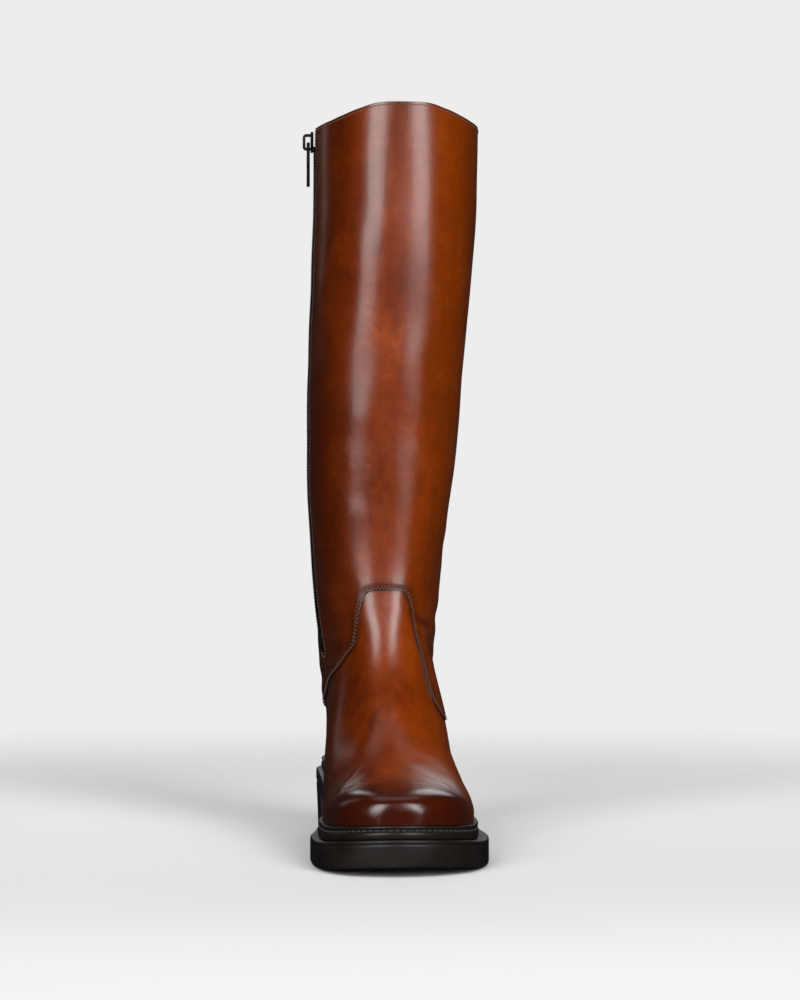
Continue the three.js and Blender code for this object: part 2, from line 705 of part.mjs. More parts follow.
function welt() {
  const face = weltFace.map((row) => {
    const inset = (y, side) => ledgeWidth(y, side) + row.in;
    return soleRing(inset, (y) => {
      const h = soleHeights(y);
      const low = h.ledge + fit;
      return low + row.up * (h.welt - low);
    });
  });
  const inner = (y, side) => ledgeWidth(y, side) + weltShelf + weltHold;
  const topInner = soleRing(inner, (y) => soleHeights(y).welt);
  const bottomInner = soleRing(inner, (y) => soleHeights(y).ledge + fit);
  return skin([...face, topInner, bottomInner], true);
}

function insole() {
  const seat = (y) => soleHeights(y).welt + 2 * fit;
  const slab = soleSlab(seat, (y) => seat(y) + insoleThickness, insoleSteps);
  return upperForm(lap + wall + fit + 0.1).intersect(slab);
}

// The upper: one hollow shell, open at the collar, at the zip and over the sole
function upper() {
  const vamp = upperForm(lap);
  const shaft = upperForm(0).intersect(overSeam());
  const hollow = upperForm(lap + wall, 3);
  const trim = soleSlab(() => -beyond, (y) => soleHeights(y).welt + curvedFit, trimSteps);
  const slot = zipStrip(zipBottom, legHeight + 20, slotHalf, -12, 14);
  return vamp.add(shaft).subtract(hollow).subtract(trim).subtract(overCollar()).subtract(slot);
}

// Pieces of the zip

const sliderZ = legHeight - sliderDrop;
const sliderY = zipY(sliderZ);
const sliderFace = leatherX(sliderY, sliderZ) - chainProud - fit;
const plateFace = sliderFace - plateThickness;
const pivotX = plateFace - fit - pullBar / 2 - 0.5;
const pivotZ = sliderZ - 1.2;

function zipTape() {
  const half = (z) => slotHalf(z) - fit;
  return zipStrip(zipBottom + fit, collarSide - 1, half, tapeDepth, tapeDepth + tapeThickness);
}

function zipChain() {
  const half = () => chainWidth / 2;
  return zipStrip(zipBottom + 2, sliderZ + sliderLength / 2 - 1, half, -chainProud, tapeDepth - fit);
}

// The slider's body is narrower at its foot; its arch holds the pull
function zipSlider() {
  const half = sliderWidth / 2;
  const tall = sliderLength / 2;
  const shape = new THREE.Shape();
  shape.moveTo(-0.72 * half, -tall);
  shape.lineTo(0.72 * half, -tall);
  shape.lineTo(half, -0.1 * tall);
  shape.quadraticCurveTo(half, 0.9 * tall, 0.45 * half, tall);
  shape.lineTo(-0.45 * half, tall);
  shape.quadraticCurveTo(-half, 0.9 * tall, -half, -0.1 * tall);
  const plate = new THREE.ExtrudeGeometry(shape, {
    depth: plateThickness, bevelEnabled: false, curveSegments: 5,
  });
  plate.applyMatrix4(new THREE.Matrix4().set(0, 0, -1, 0, 1, 0, 0, 0, 0, 1, 0, 0, 0, 0, 0, 1));
  plate.translate(sliderFace, sliderY, sliderZ);
  const rise = archProud - (leatherX(sliderY, sliderZ) - plateFace);
  const outer = new THREE.Shape();
  const long = archLength / 2;
  const corner = 2.2;
  outer.moveTo(-long, -0.5);
  outer.lineTo(long, -0.5);
  outer.lineTo(long, rise - corner);
  outer.absarc(long - corner, rise - corner, corner, 0, Math.PI / 2, false);
  outer.absarc(-long + corner, rise - corner, corner, Math.PI / 2, Math.PI, false);
  const hole = new THREE.Path();
  const inside = long - archStock;
  const low = 0;
  const high = rise - archStock;
  const small = 0.8;
  hole.moveTo(-inside, low);
  hole.lineTo(-inside, high - small);
  hole.absarc(-inside + small, high - small, small, Math.PI, Math.PI / 2, true);
  hole.absarc(inside - small, high - small, small, Math.PI / 2, 0, true);
  hole.lineTo(inside, low);
  outer.holes.push(hole);
  const arch = new THREE.ExtrudeGeometry(outer, {
    depth: archWidth, bevelEnabled: false, curveSegments: 4,
  });
  arch.translate(0, 0, -archWidth / 2);
  arch.applyMatrix4(new THREE.Matrix4().set(0, -1, 0, 0, 0, 0, 1, 0, 1, 0, 0, 0, 0, 0, 0, 1));
  arch.translate(plateFace, sliderY, sliderZ);
  return solidFrom(plate).add(solidFrom(arch));
}

// The pull hangs from a bar under the arch; its window clears the arch as it swings up
function zipPull() {
  const half = pullWidth / 2;
  const top = pullBar / 2;
  const shape = new THREE.Shape();
  shape.moveTo(-half, top);
  shape.lineTo(-half, -0.45 * pullLength);
  shape.lineTo(-0.8 * half, -0.6 * pullLength);
  shape.lineTo(-half, -0.74 * pullLength);
  shape.lineTo(-half, -pullLength + 1.5);
  shape.quadraticCurveTo(-half, -pullLength, -half + 1.5, -pullLength);
  shape.lineTo(half - 1.5, -pullLength);
  shape.quadraticCurveTo(half, -pullLength, half, -pullLength + 1.5);
  shape.lineTo(half, -0.74 * pullLength);
  shape.lineTo(0.8 * half, -0.6 * pullLength);
  shape.lineTo(half, -0.45 * pullLength);
  shape.lineTo(half, top);
  const side = archWidth / 2 + 0.6;
  const windowEnd = archLength / 2 + archProud / 2;
  const window = new THREE.Path();
  window.moveTo(-side, -top);
  window.lineTo(side, -top);
  window.lineTo(side, -windowEnd);
  window.lineTo(-side, -windowEnd);
  shape.holes.push(window);
  const hole = new THREE.Path();
  hole.absarc(0, -pullLength + 3.4, pullHole, 0, 2 * Math.PI, true);
  shape.holes.push(hole);
  const plate = new THREE.ExtrudeGeometry(shape, {
    depth: pullStock, bevelEnabled: false, curveSegments: 5,
  });
  plate.translate(0, 0, -pullStock / 2);
  plate.applyMatrix4(new THREE.Matrix4().set(0, 0, -1, 0, 1, 0, 0, 0, 0, 1, 0, 0, 0, 0, 0, 1));
  plate.translate(pivotX, sliderY, pivotZ);
  return solidFrom(plate);
}

// Finishes

const leather = { color: 0x8a4a1c, roughness: 0.42, metalness: 0 };
const rubber = { color: 0x2b2622, roughness: 0.6, metalness: 0 };
const weltRubber = { color: 0x3a322c, roughness: 0.55, metalness: 0 };
const lining = { color: 0xb08a5e, roughness: 0.8, metalness: 0 };
const tape = { color: 0x241a14, roughness: 0.9, metalness: 0 };
const metal = { color: 0x5c5a58, roughness: 0.35, metalness: 1 };

// A named mesh from a solid
function piece(name, solid, finish) {
  const mesh = solid.getMesh();
  const geometry = new THREE.BufferGeometry();
  geometry.setAttribute('position', new THREE.BufferAttribute(new Float32Array(mesh.vertProperties), 3));
  geometry.setIndex(new THREE.BufferAttribute(new Uint32Array(mesh.triVerts), 1));
  const part = new THREE.Mesh(geometry, new THREE.MeshStandardMaterial(finish));
  part.name = name;
  return part;
}

const boot = new THREE.Group();
boot.add(
  piece('outsole', outsole(), rubber),
  piece('heel', heel(), rubber),
  piece('welt', welt(), weltRubber),
  piece('insole', insole(), lining),
  piece('upper', upper(), leather),
  piece('zip_tape', zipTape(), tape),
  piece('zip_chain', zipChain(), metal),
  piece('zip_slider', zipSlider(), metal),
  piece('zip_pull', zipPull(), metal),
);

export default boot;
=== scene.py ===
"""Looks of a left knee-high leather boot on a welted rubber sole.

Lengths in the tables are millimetres or shares of the named sizes; meshes are made in metres.
"""
import math

import bmesh
import bpy
import numpy as np
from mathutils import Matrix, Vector, kdtree, noise
from mathutils.bvhtree import BVHTree


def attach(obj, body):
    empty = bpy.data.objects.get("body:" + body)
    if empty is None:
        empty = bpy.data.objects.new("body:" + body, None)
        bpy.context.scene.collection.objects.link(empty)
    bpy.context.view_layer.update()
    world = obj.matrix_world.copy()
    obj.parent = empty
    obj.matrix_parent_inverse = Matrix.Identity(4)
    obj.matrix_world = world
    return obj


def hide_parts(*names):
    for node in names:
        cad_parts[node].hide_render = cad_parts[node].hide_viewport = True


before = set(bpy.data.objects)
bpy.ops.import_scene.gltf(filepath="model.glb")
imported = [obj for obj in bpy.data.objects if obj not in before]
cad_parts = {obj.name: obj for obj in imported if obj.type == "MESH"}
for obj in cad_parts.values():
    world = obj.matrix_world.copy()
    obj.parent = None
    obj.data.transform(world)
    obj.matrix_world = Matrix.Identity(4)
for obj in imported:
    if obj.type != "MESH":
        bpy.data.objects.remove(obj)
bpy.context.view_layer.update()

MM = 0.001

# Sole sizes
sole_length = 286.0
heel_back = 36.0
heel_length = 73.0
heel_width = 76.4
ball_width = 107.6
toe_shift = 3.0
heel_block = 34.6
heel_taper = 1.4
sole_thickness = 15.4
sole_rounding = 1.8
ledge_bevel = 1.2
toe_spring = 5.8
welt_height = 9.6
inner_ledge = 4.5
outer_ledge = 6.3
welt_shelf = 3.2
welt_hold = 4.4
fit = 0.3

# Upper sizes
wall = 1.8
lap = 1.2
upper_ball = 93.4
ankle_height = 163.0
leg_height = 463.0
collar_drop = 10.6
collar_width = 103.6
collar_depth = 132.0
leg_lean = 11.0
leg_back = 27.4
feather_depth = 6.0
back_seam = 1.2
side_swell = 0.8
tongue_height = 160.6
tongue_width = 29.6
quarter_height = 77.0

# Zip sizes
zip_bottom = 118.0
slot_width = 7.0
garage_width = 10.0
garage_length = 36.0
zip_forward = 40.0
zip_drift = 2.5
tape_depth = 1.6
tape_lap = 0.8
tape_thickness = 0.5
slider_drop = 18.5
zip_start = zip_bottom + 0.5
tooth_pitch = 1.9
tooth_size = (2.3, 2.5, 1.25)

# Places of the sole's pieces on each other
welt_seat = 0.15
heel_seat = 0.15
groove_up = 0.64
groove_in = 1.25

# Worn leather sizes
wave_height = 0.8
ripple_height = 0.5
calm_start = 2.0
calm_run = 14.0
calm_collar = 60.0
puff_height = 3.0
puff_rise = 16.0
puff_spread = 9.0
puff_half_width = 44.0
puff_start = 188.0
puff_run = 24.0
seam_pull = 0.45
seam_pull_reach = 5.0
seam_flap = 9.0

# Sheet sizes
vamp_thickness = 0.9
lining_start = 1.0
lining_inset = 0.5
lining_overhang = 1.2
insole_gap = 0.6
insole_edge = 8.0
insole_thickness = 3.0
insole_crown = 0.9
insole_least = 9.0
stitch_lift = 0.12

SOLE_OUTLINE = [
    # at, inner, outer, width they are shares of
    (0.0095, 0.225, 0.225, heel_width),
    (0.0385, 0.393, 0.393, heel_width),
    (0.091, 0.484, 0.489, heel_width),
    (0.161, 0.5, 0.508, heel_width),
    (0.266, 0.489, 0.528, heel_width),
    (0.371, 0.336, 0.41, ball_width),
    (0.4755, 0.36, 0.466, ball_width),
    (0.563, 0.413, 0.513, ball_width),
    (0.65, 0.456, 0.535, ball_width),
    (0.713, 0.464, 0.53, ball_width),
    (0.79, 0.455, 0.502, ball_width),
    (0.86, 0.43, 0.449, ball_width),
    (0.923, 0.374, 0.366, ball_width),
    (0.965, 0.29, 0.254, ball_width),
    (0.991, 0.164, 0.122, ball_width),
]

SOLE_PROFILE = np.array([
    # at, rise, spring, thick, band, inner ledge, outer ledge
    (0, 1, 0, 0.55, 0.74, 0.73, 0.53),
    (0.126, 0.992, 0, 0.55, 0.74, 0.73, 0.53),
    (0.213, 0.94, 0, 0.57, 0.74, 0.72, 0.54),
    (0.3, 0.77, 0, 0.65, 0.77, 0.7, 0.56),
    (0.388, 0.52, 0, 0.75, 0.83, 0.7, 0.62),
    (0.4755, 0.25, 0, 0.85, 0.91, 0.8, 0.75),
    (0.545, 0.075, 0, 0.95, 0.98, 0.92, 0.9),
    (0.6, 0, 0, 1, 1, 1, 1),
    (0.685, 0, 0, 1, 1, 1, 1),
    (0.775, 0, 0, 1.01, 0.98, 1.02, 0.97),
    (0.843, 0, 0.13, 1.03, 0.95, 1.05, 0.9),
    (0.913, 0, 0.45, 1.05, 0.91, 1.1, 0.82),
    (1, 0, 1, 1.07, 0.85, 1.1, 0.8),
])

FOOT_SECTIONS = [
    # ridge, base, top, inner, outer, widest, round, tuck
    (0.9705, 0.9705, 0.208, 0, 0, 0.5, 2.1, 2),
    (0.9675, 0.9675, 0.238, 0, 0, 0.55, 2.3, 2),
    (0.958, 0.96, 0.262, 0, 0, 0.58, 2.45, 2),
    (0.938, 0.942, 0.281, 0, 0, 0.6, 2.5, 2),
    (0.9, 0.907, 0.298, 0, 0, 0.62, 2.45, 2),
    (0.847, 0.855, 0.309, 0, 0, 0.64, 2.35, 2),
    (0.785, 0.79, 0.32, 0, 0, 0.66, 2.2, 2),
    (0.723, 0.72, 0.3475, 0, 0, 0.7, 2.05, 2),
    (0.66, 0.643, 0.4, 0.456, 0.517, 0.74, 1.9, 2),
    (0.6, 0.552, 0.48, 0.443, 0.478, 0.72, 1.8, 2),
    (0.547, 0.448, 0.58, 0.424, 0.452, 0.62, 1.8, 2),
    (0.503, 0.318, 0.69, 0.395, 0.437, 0.56, 1.9, 2.1),
    (0.474, 0.196, 0.795, 0.368, 0.4, 0.53, 2.05, 2.2),
    (0.46, 0.098, 0.862, 0.361, 0.378, 0.54, 2.3, 2.3),
    (0.453, 0.05, 0.906, 0.357, 0.362, 0.56, 2.6, 2.3),
    (0.449, 0.0235, 0.942, 0.359, 0.356, 0.57, 2.8, 2.2),
]

LEG_SECTIONS = [
    # front, back, up, rear, inner, outer, lean, widest, round
    (0.9, -0.028, -0.018, -0.37, 0.335, 0.328, 0, 0.57, 2.75),
    (0.895, -0.034, 0, -0.33, 0.346, 0.335, 0, 0.56, 2.75),
    (0.891, -0.024, 0.02, -0.27, 0.361, 0.344, 0, 0.54, 2.75),
    (0.889, 0.01, 0.047, -0.2, 0.377, 0.357, 0, 0.52, 2.7),
    (0.888, 0.044, 0.083, -0.117, 0.394, 0.373, 0.02, 0.5, 2.65),
    (0.891, 0.06, 0.133, -0.017, 0.411, 0.39, 0.03, 0.49, 2.55),
    (0.897, 0.052, 0.207, 0.097, 0.422, 0.422, 0.05, 0.48, 2.5),
    (0.912, 0.022, 0.317, 0.24, 0.452, 0.459, 0.17, 0.47, 2.5),
    (0.939, -0.008, 0.457, 0.4, 0.466, 0.472, 0.35, 0.47, 2.45),
    (0.965, -0.023, 0.607, 0.567, 0.478, 0.483, 0.63, 0.475, 2.45),
    (0.986, -0.019, 0.757, 0.723, 0.489, 0.496, 0.86, 0.48, 2.4),
    (0.998, -0.006, 0.89, 0.857, 0.496, 0.501, 0.96, 0.485, 2.25),
    (1.005, 0.003, 1.03, 1.0, 0.5, 0.5, 1.03, 0.49, 2.2),
]
leg_tuck = 2.1

TONGUE_EDGE = np.array([
    # across, down
    (-5.4, 0.36), (-2.7, 0.357), (-2.28, 0.352), (-2.1, 0.327), (-1.61, 0.255), (-1.3, 0.214),
    (-1.18, 0.162), (-1.1, 0.096), (-0.98, 0.045), (-0.8, 0.014), (-0.6, 0.004), (0, 0),
    (0.68, 0.004), (0.87, 0.014), (1.02, 0.04), (1.14, 0.09), (1.26, 0.162), (1.53, 0.25),
    (1.76, 0.356), (2.08, 0.435), (2.74, 0.512), (3.4, 0.53), (5.4, 0.54),
])

COLLAR_LINE = np.array([
    # along, drop
    (-0.2, 0), (0, 0), (0.05, 0.3), (0.13, 0.66), (0.22, 0.87), (0.36, 0.97), (0.55, 1), (1.4, 1),
])


def between(table, column, x):
    """Values between a table's rows, by its first column, that never swing past them."""
    keys, values = table[:, 0], table[:, column]
    x = np.clip(np.asarray(x, float), keys[0], keys[-1])
    slopes = np.diff(values) / np.diff(keys)
    before = np.concatenate([slopes[:1], slopes])
    after = np.concatenate([slopes, slopes[-1:]])
    product = before * after
    total = np.where(before + after == 0, 1, before + after)
    tangents = np.where(product > 0, 2 * product / total, 0)
    i = np.clip(np.searchsorted(keys, x, side="right") - 1, 0, len(keys) - 2)
    width = keys[i + 1] - keys[i]
    t = (x - keys[i]) / width
    ends = (1 + 2 * t) * (1 - t) ** 2 * values[i] + t * t * (3 - 2 * t) * values[i + 1]
    return ends + width * t * (1 - t) * ((1 - t) * tangents[i] - t * tangents[i + 1])


def through(values, places):
    """A smooth curve through equally counted values."""
    padded = np.concatenate([[2 * values[0] - values[1]], values, [2 * values[-1] - values[-2]]])
    row = np.clip(np.floor(places).astype(int), 0, len(values) - 2)
    t = places - row
    a, b, c, d = (padded[row + k] for k in range(4))
    return b + 0.5 * t * (c - a + t * (2 * a - 5 * b + 4 * c - d + t * (3 * (b - c) + d - a)))


def sole_y(share):
    """The place along the foot at a share of the sole's length from the heel."""
    return heel_back - share * sole_length


def sole_heights(y):
    """Underside, ledge and welt top at a place along the foot."""
    at = (heel_back - np.asarray(y)) / sole_length
    bottom = between(SOLE_PROFILE, 1, at) * heel_block + between(SOLE_PROFILE, 2, at) * toe_spring
    ledge = bottom + between(SOLE_PROFILE, 3, at) * sole_thickness
    return bottom, ledge, ledge + between(SOLE_PROFILE, 4, at) * welt_height


def ledge_width(y, side):
    """How far the outsole stands out past the welt; side runs from -1, inner, to 1, outer."""
    at = (heel_back - y) / sole_length
    inner = between(SOLE_PROFILE, 5, at) * inner_ledge
    outer = between(SOLE_PROFILE, 6, at) * outer_ledge
    return inner + (outer - inner) * (0.5 + 0.5 * side)


def outline_points():
    """The outsole's outline, a closed centripetal curve sampled evenly."""
    inner = [(-row[1] * row[3], sole_y(row[0])) for row in SOLE_OUTLINE]
    outer = [(row[2] * row[3], sole_y(row[0])) for row in SOLE_OUTLINE]
    knots = [(0, sole_y(0))] + inner + [(-toe_shift, sole_y(1))] + outer[::-1]
    count = len(knots)
    knots = np.array(knots, float)
    samples = []
    for k in range(count):
        p = [knots[(k + j - 1) % count] for j in range(4)]
        t = [0.0]
        for j in range(3):
            t.append(t[-1] + np.linalg.norm(p[j + 1] - p[j]) ** 0.5)
        for s in np.linspace(t[1], t[2], 40, endpoint=False):
            a = [((t[j + 1] - s) * p[j] + (s - t[j]) * p[j + 1]) / (t[j + 1] - t[j]) for j in range(3)]
            b = [((t[j + 2] - s) * a[j] + (s - t[j]) * a[j + 1]) / (t[j + 2] - t[j]) for j in range(2)]
            samples.append(((t[2] - s) * b[0] + (s - t[1]) * b[1]) / (t[2] - t[1]))
    samples = np.array(samples + samples[:1])
    steps = np.concatenate([[0], np.cumsum(np.linalg.norm(np.diff(samples, axis=0), axis=1))])
    even = np.linspace(0, steps[-1], 1441)[:-1]
    curve = np.stack([np.interp(even, steps, samples[:, axis]) for axis in (0, 1)], axis=1)
    weights = np.exp(-0.5 * (np.arange(-14, 15) / 6.0) ** 2)
    weights /= weights.sum()
    return sum(w * np.roll(curve, k, axis=0) for k, w in zip(range(-14, 15), weights))


outline = outline_points()


def drawn_in(distance):
    """The outline drawn in, as a chain from heel to toe for each side."""
    tangent = np.roll(outline, -1, axis=0) - np.roll(outline, 1, axis=0)
    tangent /= np.linalg.norm(tangent, axis=1)[:, None]
    side = np.clip(tangent[:, 1] * 1.6, -1, 1)
    inward = np.stack([-tangent[:, 1], tangent[:, 0]], axis=1)
    moved = outline + inward * distance(outline[:, 1], side)[:, None]
    moved = np.roll(moved, -int(np.argmax(moved[:, 1])), axis=0)
    toe = int(np.argmin(moved[:, 1]))
    return moved[:toe + 1], np.concatenate([moved[toe:], moved[:1]])[::-1]


def chain_x(chain, y):
    """How far across one side of an outline is at places along the foot."""
    return np.interp(-np.asarray(y), -chain[:, 1], chain[:, 0])


def drawn_by(inset):
    """The same distance in from the outline all round."""
    return lambda y, side: inset + 0 * y


def past_ledge(inset):
    """A distance in from the welt's edge, where the outsole's ledge ends."""
    return lambda y, side: ledge_width(y, side) + inset


def sole_ring(inset, height, shares):
    """A ring of points round the sole: down the inner side and back up the outer side."""
    inner, outer = drawn_in(inset)
    y = inner[0, 1] + shares * (inner[-1, 1] - inner[0, 1])
    z = height(y) + 0 * y
    down = np.stack([chain_x(inner, y), y, z], axis=1)
    up = np.stack([chain_x(outer, y), y, z], axis=1)
    return np.concatenate([down, up[::-1]])


def band_faces(rings, count, loop=False):
    """Quads between rings of equal count."""
    faces = []
    for i in range(rings if loop else rings - 1):
        a, b = i * count, ((i + 1) % rings) * count
        for k in range(count):
            n = (k + 1) % count
            faces.append((a + k, a + n, b + n, b + k))
    return faces


def cap_faces(start, count, flip):
    """Strips across a ring."""
    faces = []
    for k in range(count // 2 - 1):
        face = (start + k, start + count - 1 - k, start + count - 2 - k, start + k + 1)
        faces.append(face[::-1] if flip else face)
    return faces


def set_smooth(mesh, smooth):
    mesh.polygons.foreach_set("use_smooth", [smooth] * len(mesh.polygons))


def mesh_object(name, points, faces, smooth=True):
    mesh = bpy.data.meshes.new(name)
    mesh.from_pydata((np.asarray(points)[:, :3] * MM).tolist(), [], [list(map(int, f)) for f in faces])
    mesh.validate()
    set_smooth(mesh, smooth)
    obj = bpy.data.objects.new(name, mesh)
    bpy.context.collection.objects.link(obj)
    return obj


def outward(obj):
    """Turns the faces of a closed mesh outwards."""
    bm = bmesh.new()
    bm.from_mesh(obj.data)
    bmesh.ops.remove_doubles(bm, verts=bm.verts, dist=1e-6)
    bmesh.ops.recalc_face_normals(bm, faces=bm.faces)
    bm.to_mesh(obj.data)
    bm.free()
    return obj


def add_attribute(obj, name, values):
    layer = obj.data.attributes.new(name, "FLOAT", "POINT")
    layer.data.foreach_set("value", np.asarray(values, np.float32))


def modifier(obj, kind, name, **settings):
    made = obj.modifiers.new(name, kind)
    for key, value in settings.items():
        setattr(made, key, value)
    return made


def baked(obj):
    """The object with its modifiers applied."""
    depsgraph = bpy.context.evaluated_depsgraph_get()
    mesh = bpy.data.meshes.new_from_object(obj.evaluated_get(depsgraph))
    obj.modifiers.clear()
    old = obj.data
    obj.data = mesh
    mesh.name = obj.name
    bpy.data.meshes.remove(old)
    return obj


# The upper's form

def upper_rows():
    """The foot's and the leg's sections in millimetres, from toe to collar."""
    rows = []
    feather_inner, feather_outer = feather
    for ridge, base, top, inner, outer, widest, over, under in FOOT_SECTIONS:
        base_y = sole_y(base)
        rows.append((
            -toe_shift * min(1, max(0, (ridge - 0.5) * 2.2)), sole_y(ridge), top * ankle_height,
            base_y, float(sole_heights(base_y)[2]) - feather_depth,
            inner * upper_ball if inner else side_swell - float(chain_x(feather_inner, base_y)),
            outer * upper_ball if outer else side_swell + float(chain_x(feather_outer, base_y)),
            widest, over, under, 1,
        ))
    rise = leg_height - ankle_height
    for front, back, up, rear, inner, outer, lean, widest, over in LEG_SECTIONS:
        middle = lean * leg_lean
        rows.append((
            middle, leg_back - front * collar_depth, ankle_height + up * rise,
            leg_back - back * collar_depth, ankle_height + rear * rise,
            inner * collar_width - middle, outer * collar_width + middle,
            widest, over, leg_tuck, 0,
        ))
    return np.array(rows)


def gaussian(values, width):
    """Values smoothed along their row, with both ends kept."""
    reach = int(width * 3) + 1
    weights = np.exp(-0.5 * (np.arange(-reach, reach + 1) / width) ** 2)
    weights /= weights.sum()
    head = 2 * values[0] - values[reach:0:-1]
    tail = 2 * values[-1] - values[-2:-reach - 2:-1]
    return np.convolve(np.concatenate([head, values, tail]), weights, "valid")


feather = drawn_in(past_ledge(welt_shelf - lap))

SECTIONS = 330
OVER_STEPS = 50
UNDER_STEPS = 30


def upper_grid():
    """Points of the shaft's face: sections from toe to collar, each from ridge to base and back."""
    rows = upper_rows()
    fine = np.linspace(0, len(rows) - 1, 40 * (len(rows) - 1) + 1)
    columns = [gaussian(through(rows[:, c], fine), 18) for c in range(rows.shape[1])]
    columns[10] = np.clip(columns[10], 0, 1)
    ridge_run = np.hypot(np.diff(columns[1]), np.diff(columns[2]))
    path = ridge_run + np.hypot(np.diff(columns[3]), np.diff(columns[4]))
    steps = np.concatenate([[0], np.cumsum(path + 0.35)])
    places = np.interp(np.linspace(0, steps[-1], SECTIONS), steps, fine)
    at = [np.interp(places, fine, column) for column in columns]
    ridge_x, ridge_y, ridge_z, base_y, base_z, inner, outer, widest, over, under, on_sole = at
    over_turn = (np.arange(OVER_STEPS) + 0.5) / (OVER_STEPS + 0.5) * math.pi / 2
    under_turn = np.arange(1, UNDER_STEPS + 1) / UNDER_STEPS * math.pi / 2
    halves = []
    for side, chain, reach in ((-1, feather[0], inner), (1, feather[1], outer)):
        sole_edge = side * chain_x(chain, base_y)
        strip = back_seam + side * ridge_x * (1 - on_sole)
        foot = strip + (np.maximum(back_seam, sole_edge) - strip) * on_sole
        wide = np.maximum(reach, foot + 0.2)
        start = side * ridge_x
        share = widest[:, None] * (1 - np.cos(over_turn)[None] ** (2 / over[:, None]))
        out = start[:, None] + (wide - start)[:, None] * np.sin(over_turn)[None] ** (2 / over[:, None])
        share2 = widest[:, None] + (1 - widest)[:, None] * np.sin(under_turn)[None] ** (2 / under[:, None])
        bend = np.clip(np.cos(under_turn), 0, 1)[None] ** (2 / under[:, None])
        out2 = foot[:, None] + (wide - foot)[:, None] * bend
        share = np.concatenate([share, widest[:, None], share2], axis=1)
        out = np.concatenate([out, wide[:, None], out2], axis=1)
        y = ridge_y[:, None] + share * (base_y - ridge_y)[:, None]
        z = ridge_z[:, None] + share * (base_z - ridge_z)[:, None]
        halves.append(np.stack([side * out, y, z], axis=2))
    return np.concatenate([halves[0], halves[1][:, ::-1]], axis=1)


def grid_normals(grid):
    """The outward direction at each point of the form."""
    along_leg = np.gradient(grid, axis=0)
    around = np.roll(grid, -1, axis=1) - np.roll(grid, 1, axis=1)
    half = grid.shape[1] // 2
    around[:, half - 1] = grid[:, half - 1] - grid[:, half - 2]
    around[:, half] = grid[:, half + 1] - grid[:, half]
    normals = np.cross(along_leg, around)
    return normals / np.linalg.norm(normals, axis=2)[..., None]


def seam_height(x, y):
    """The seam between vamp and shaft: a tongue in front, then a sweep down to the heel."""
    front = tongue_height * (1 - between(TONGUE_EDGE, 1, x / tongue_width * 2))
    sweep_from = leg_back - 0.74 * collar_depth
    t = np.clip((y - sweep_from) / (leg_back - sweep_from), 0, 1)
    return front + (quarter_height - front) * t * t * (3 - 2 * t)


def collar_height(y):
    """The collar's edge, highest in front."""
    share = (y - (leg_back - collar_depth)) / collar_depth
    return leg_height - between(COLLAR_LINE, 1, share) * collar_drop


collar_side = leg_height - collar_drop


def zip_y(z):
    """The zip's middle line along the shaft."""
    return -zip_forward + zip_drift * ((collar_side - z) / (collar_side - zip_bottom))


def slot_half(z):
    """Half the slot's width, wider round the slider."""
    t = np.clip((z - (collar_side - garage_length - slot_width)) / slot_width, 0, 1)
    return 0.5 * (slot_width + (garage_width - slot_width) * t)


def clip(points, faces, values):
    """The part of a sheet where values are positive, cut exactly, and the cut's segments."""
    keep = values >= 0
    cache, extra, out, segments = {}, [], [], []

    def crossing(a, b):
        key = (min(a, b), max(a, b))
        if key not in cache:
            t = values[a] / (values[a] - values[b])
            extra.append(points[a] + t * (points[b] - points[a]))
            cache[key] = len(points) + len(extra) - 1
        return cache[key]

    for face in faces:
        inside = [keep[v] for v in face]
        if all(inside):
            out.append(face)
            continue
        if not any(inside):
            continue
        polygon, cuts = [], []
        for k, a in enumerate(face):
            b = face[(k + 1) % len(face)]
            if keep[a]:
                polygon.append(a)
            if keep[a] != keep[b]:
                c = crossing(a, b)
                polygon.append(c)
                cuts.append(c)
        if len(polygon) >= 3:
            out.append(tuple(polygon))
        if len(cuts) == 2:
            segments.append(tuple(cuts))
    return np.concatenate([points, np.array(extra)]) if extra else points, out, segments


def chains(points, segments):
    """Joins segments into runs of points, longest first."""
    neighbours = {}
    for a, b in segments:
        neighbours.setdefault(a, []).append(b)
        neighbours.setdefault(b, []).append(a)
    ends = [v for v, near in neighbours.items() if len(near) == 1]
    seen, runs = set(), []
    for start in ends + list(neighbours):
        if start in seen:
            continue
        run = [start]
        seen.add(start)
        while True:
            ahead = [v for v in neighbours[run[-1]] if v not in seen]
            if not ahead:
                break
            run.append(ahead[0])
            seen.add(ahead[0])
        if len(run) > 3 and run[0] in neighbours[run[-1]] and len(neighbours[run[0]]) == 2:
            run.append(run[0])
        runs.append(points[run][:, :3])
    return sorted(runs, key=len, reverse=True)


def distance_to(points, runs):
    """Distance of each point to runs of points, in millimetres."""
    line = np.concatenate([finer(run, 0.8) for run in runs])
    tree = kdtree.KDTree(len(line))
    for k, p in enumerate(line):
        tree.insert(p, k)
    tree.balance()
    return np.array([tree.find(p[:3])[2] for p in points])


def finer(run, step):
    """A run of points spaced evenly."""
    lengths = np.concatenate([[0], np.cumsum(np.linalg.norm(np.diff(run, axis=0), axis=1))])
    count = max(2, int(lengths[-1] / step) + 1)
    even = np.linspace(0, lengths[-1], count)
    return np.stack([np.interp(even, lengths, run[:, axis]) for axis in range(3)], axis=1)


def contour(points, faces, values):
    """Runs on a sheet where values cross zero."""
    cut_points, _, segments = clip(points, faces, values)
    return chains(cut_points, segments)


# Creases of the worn leather

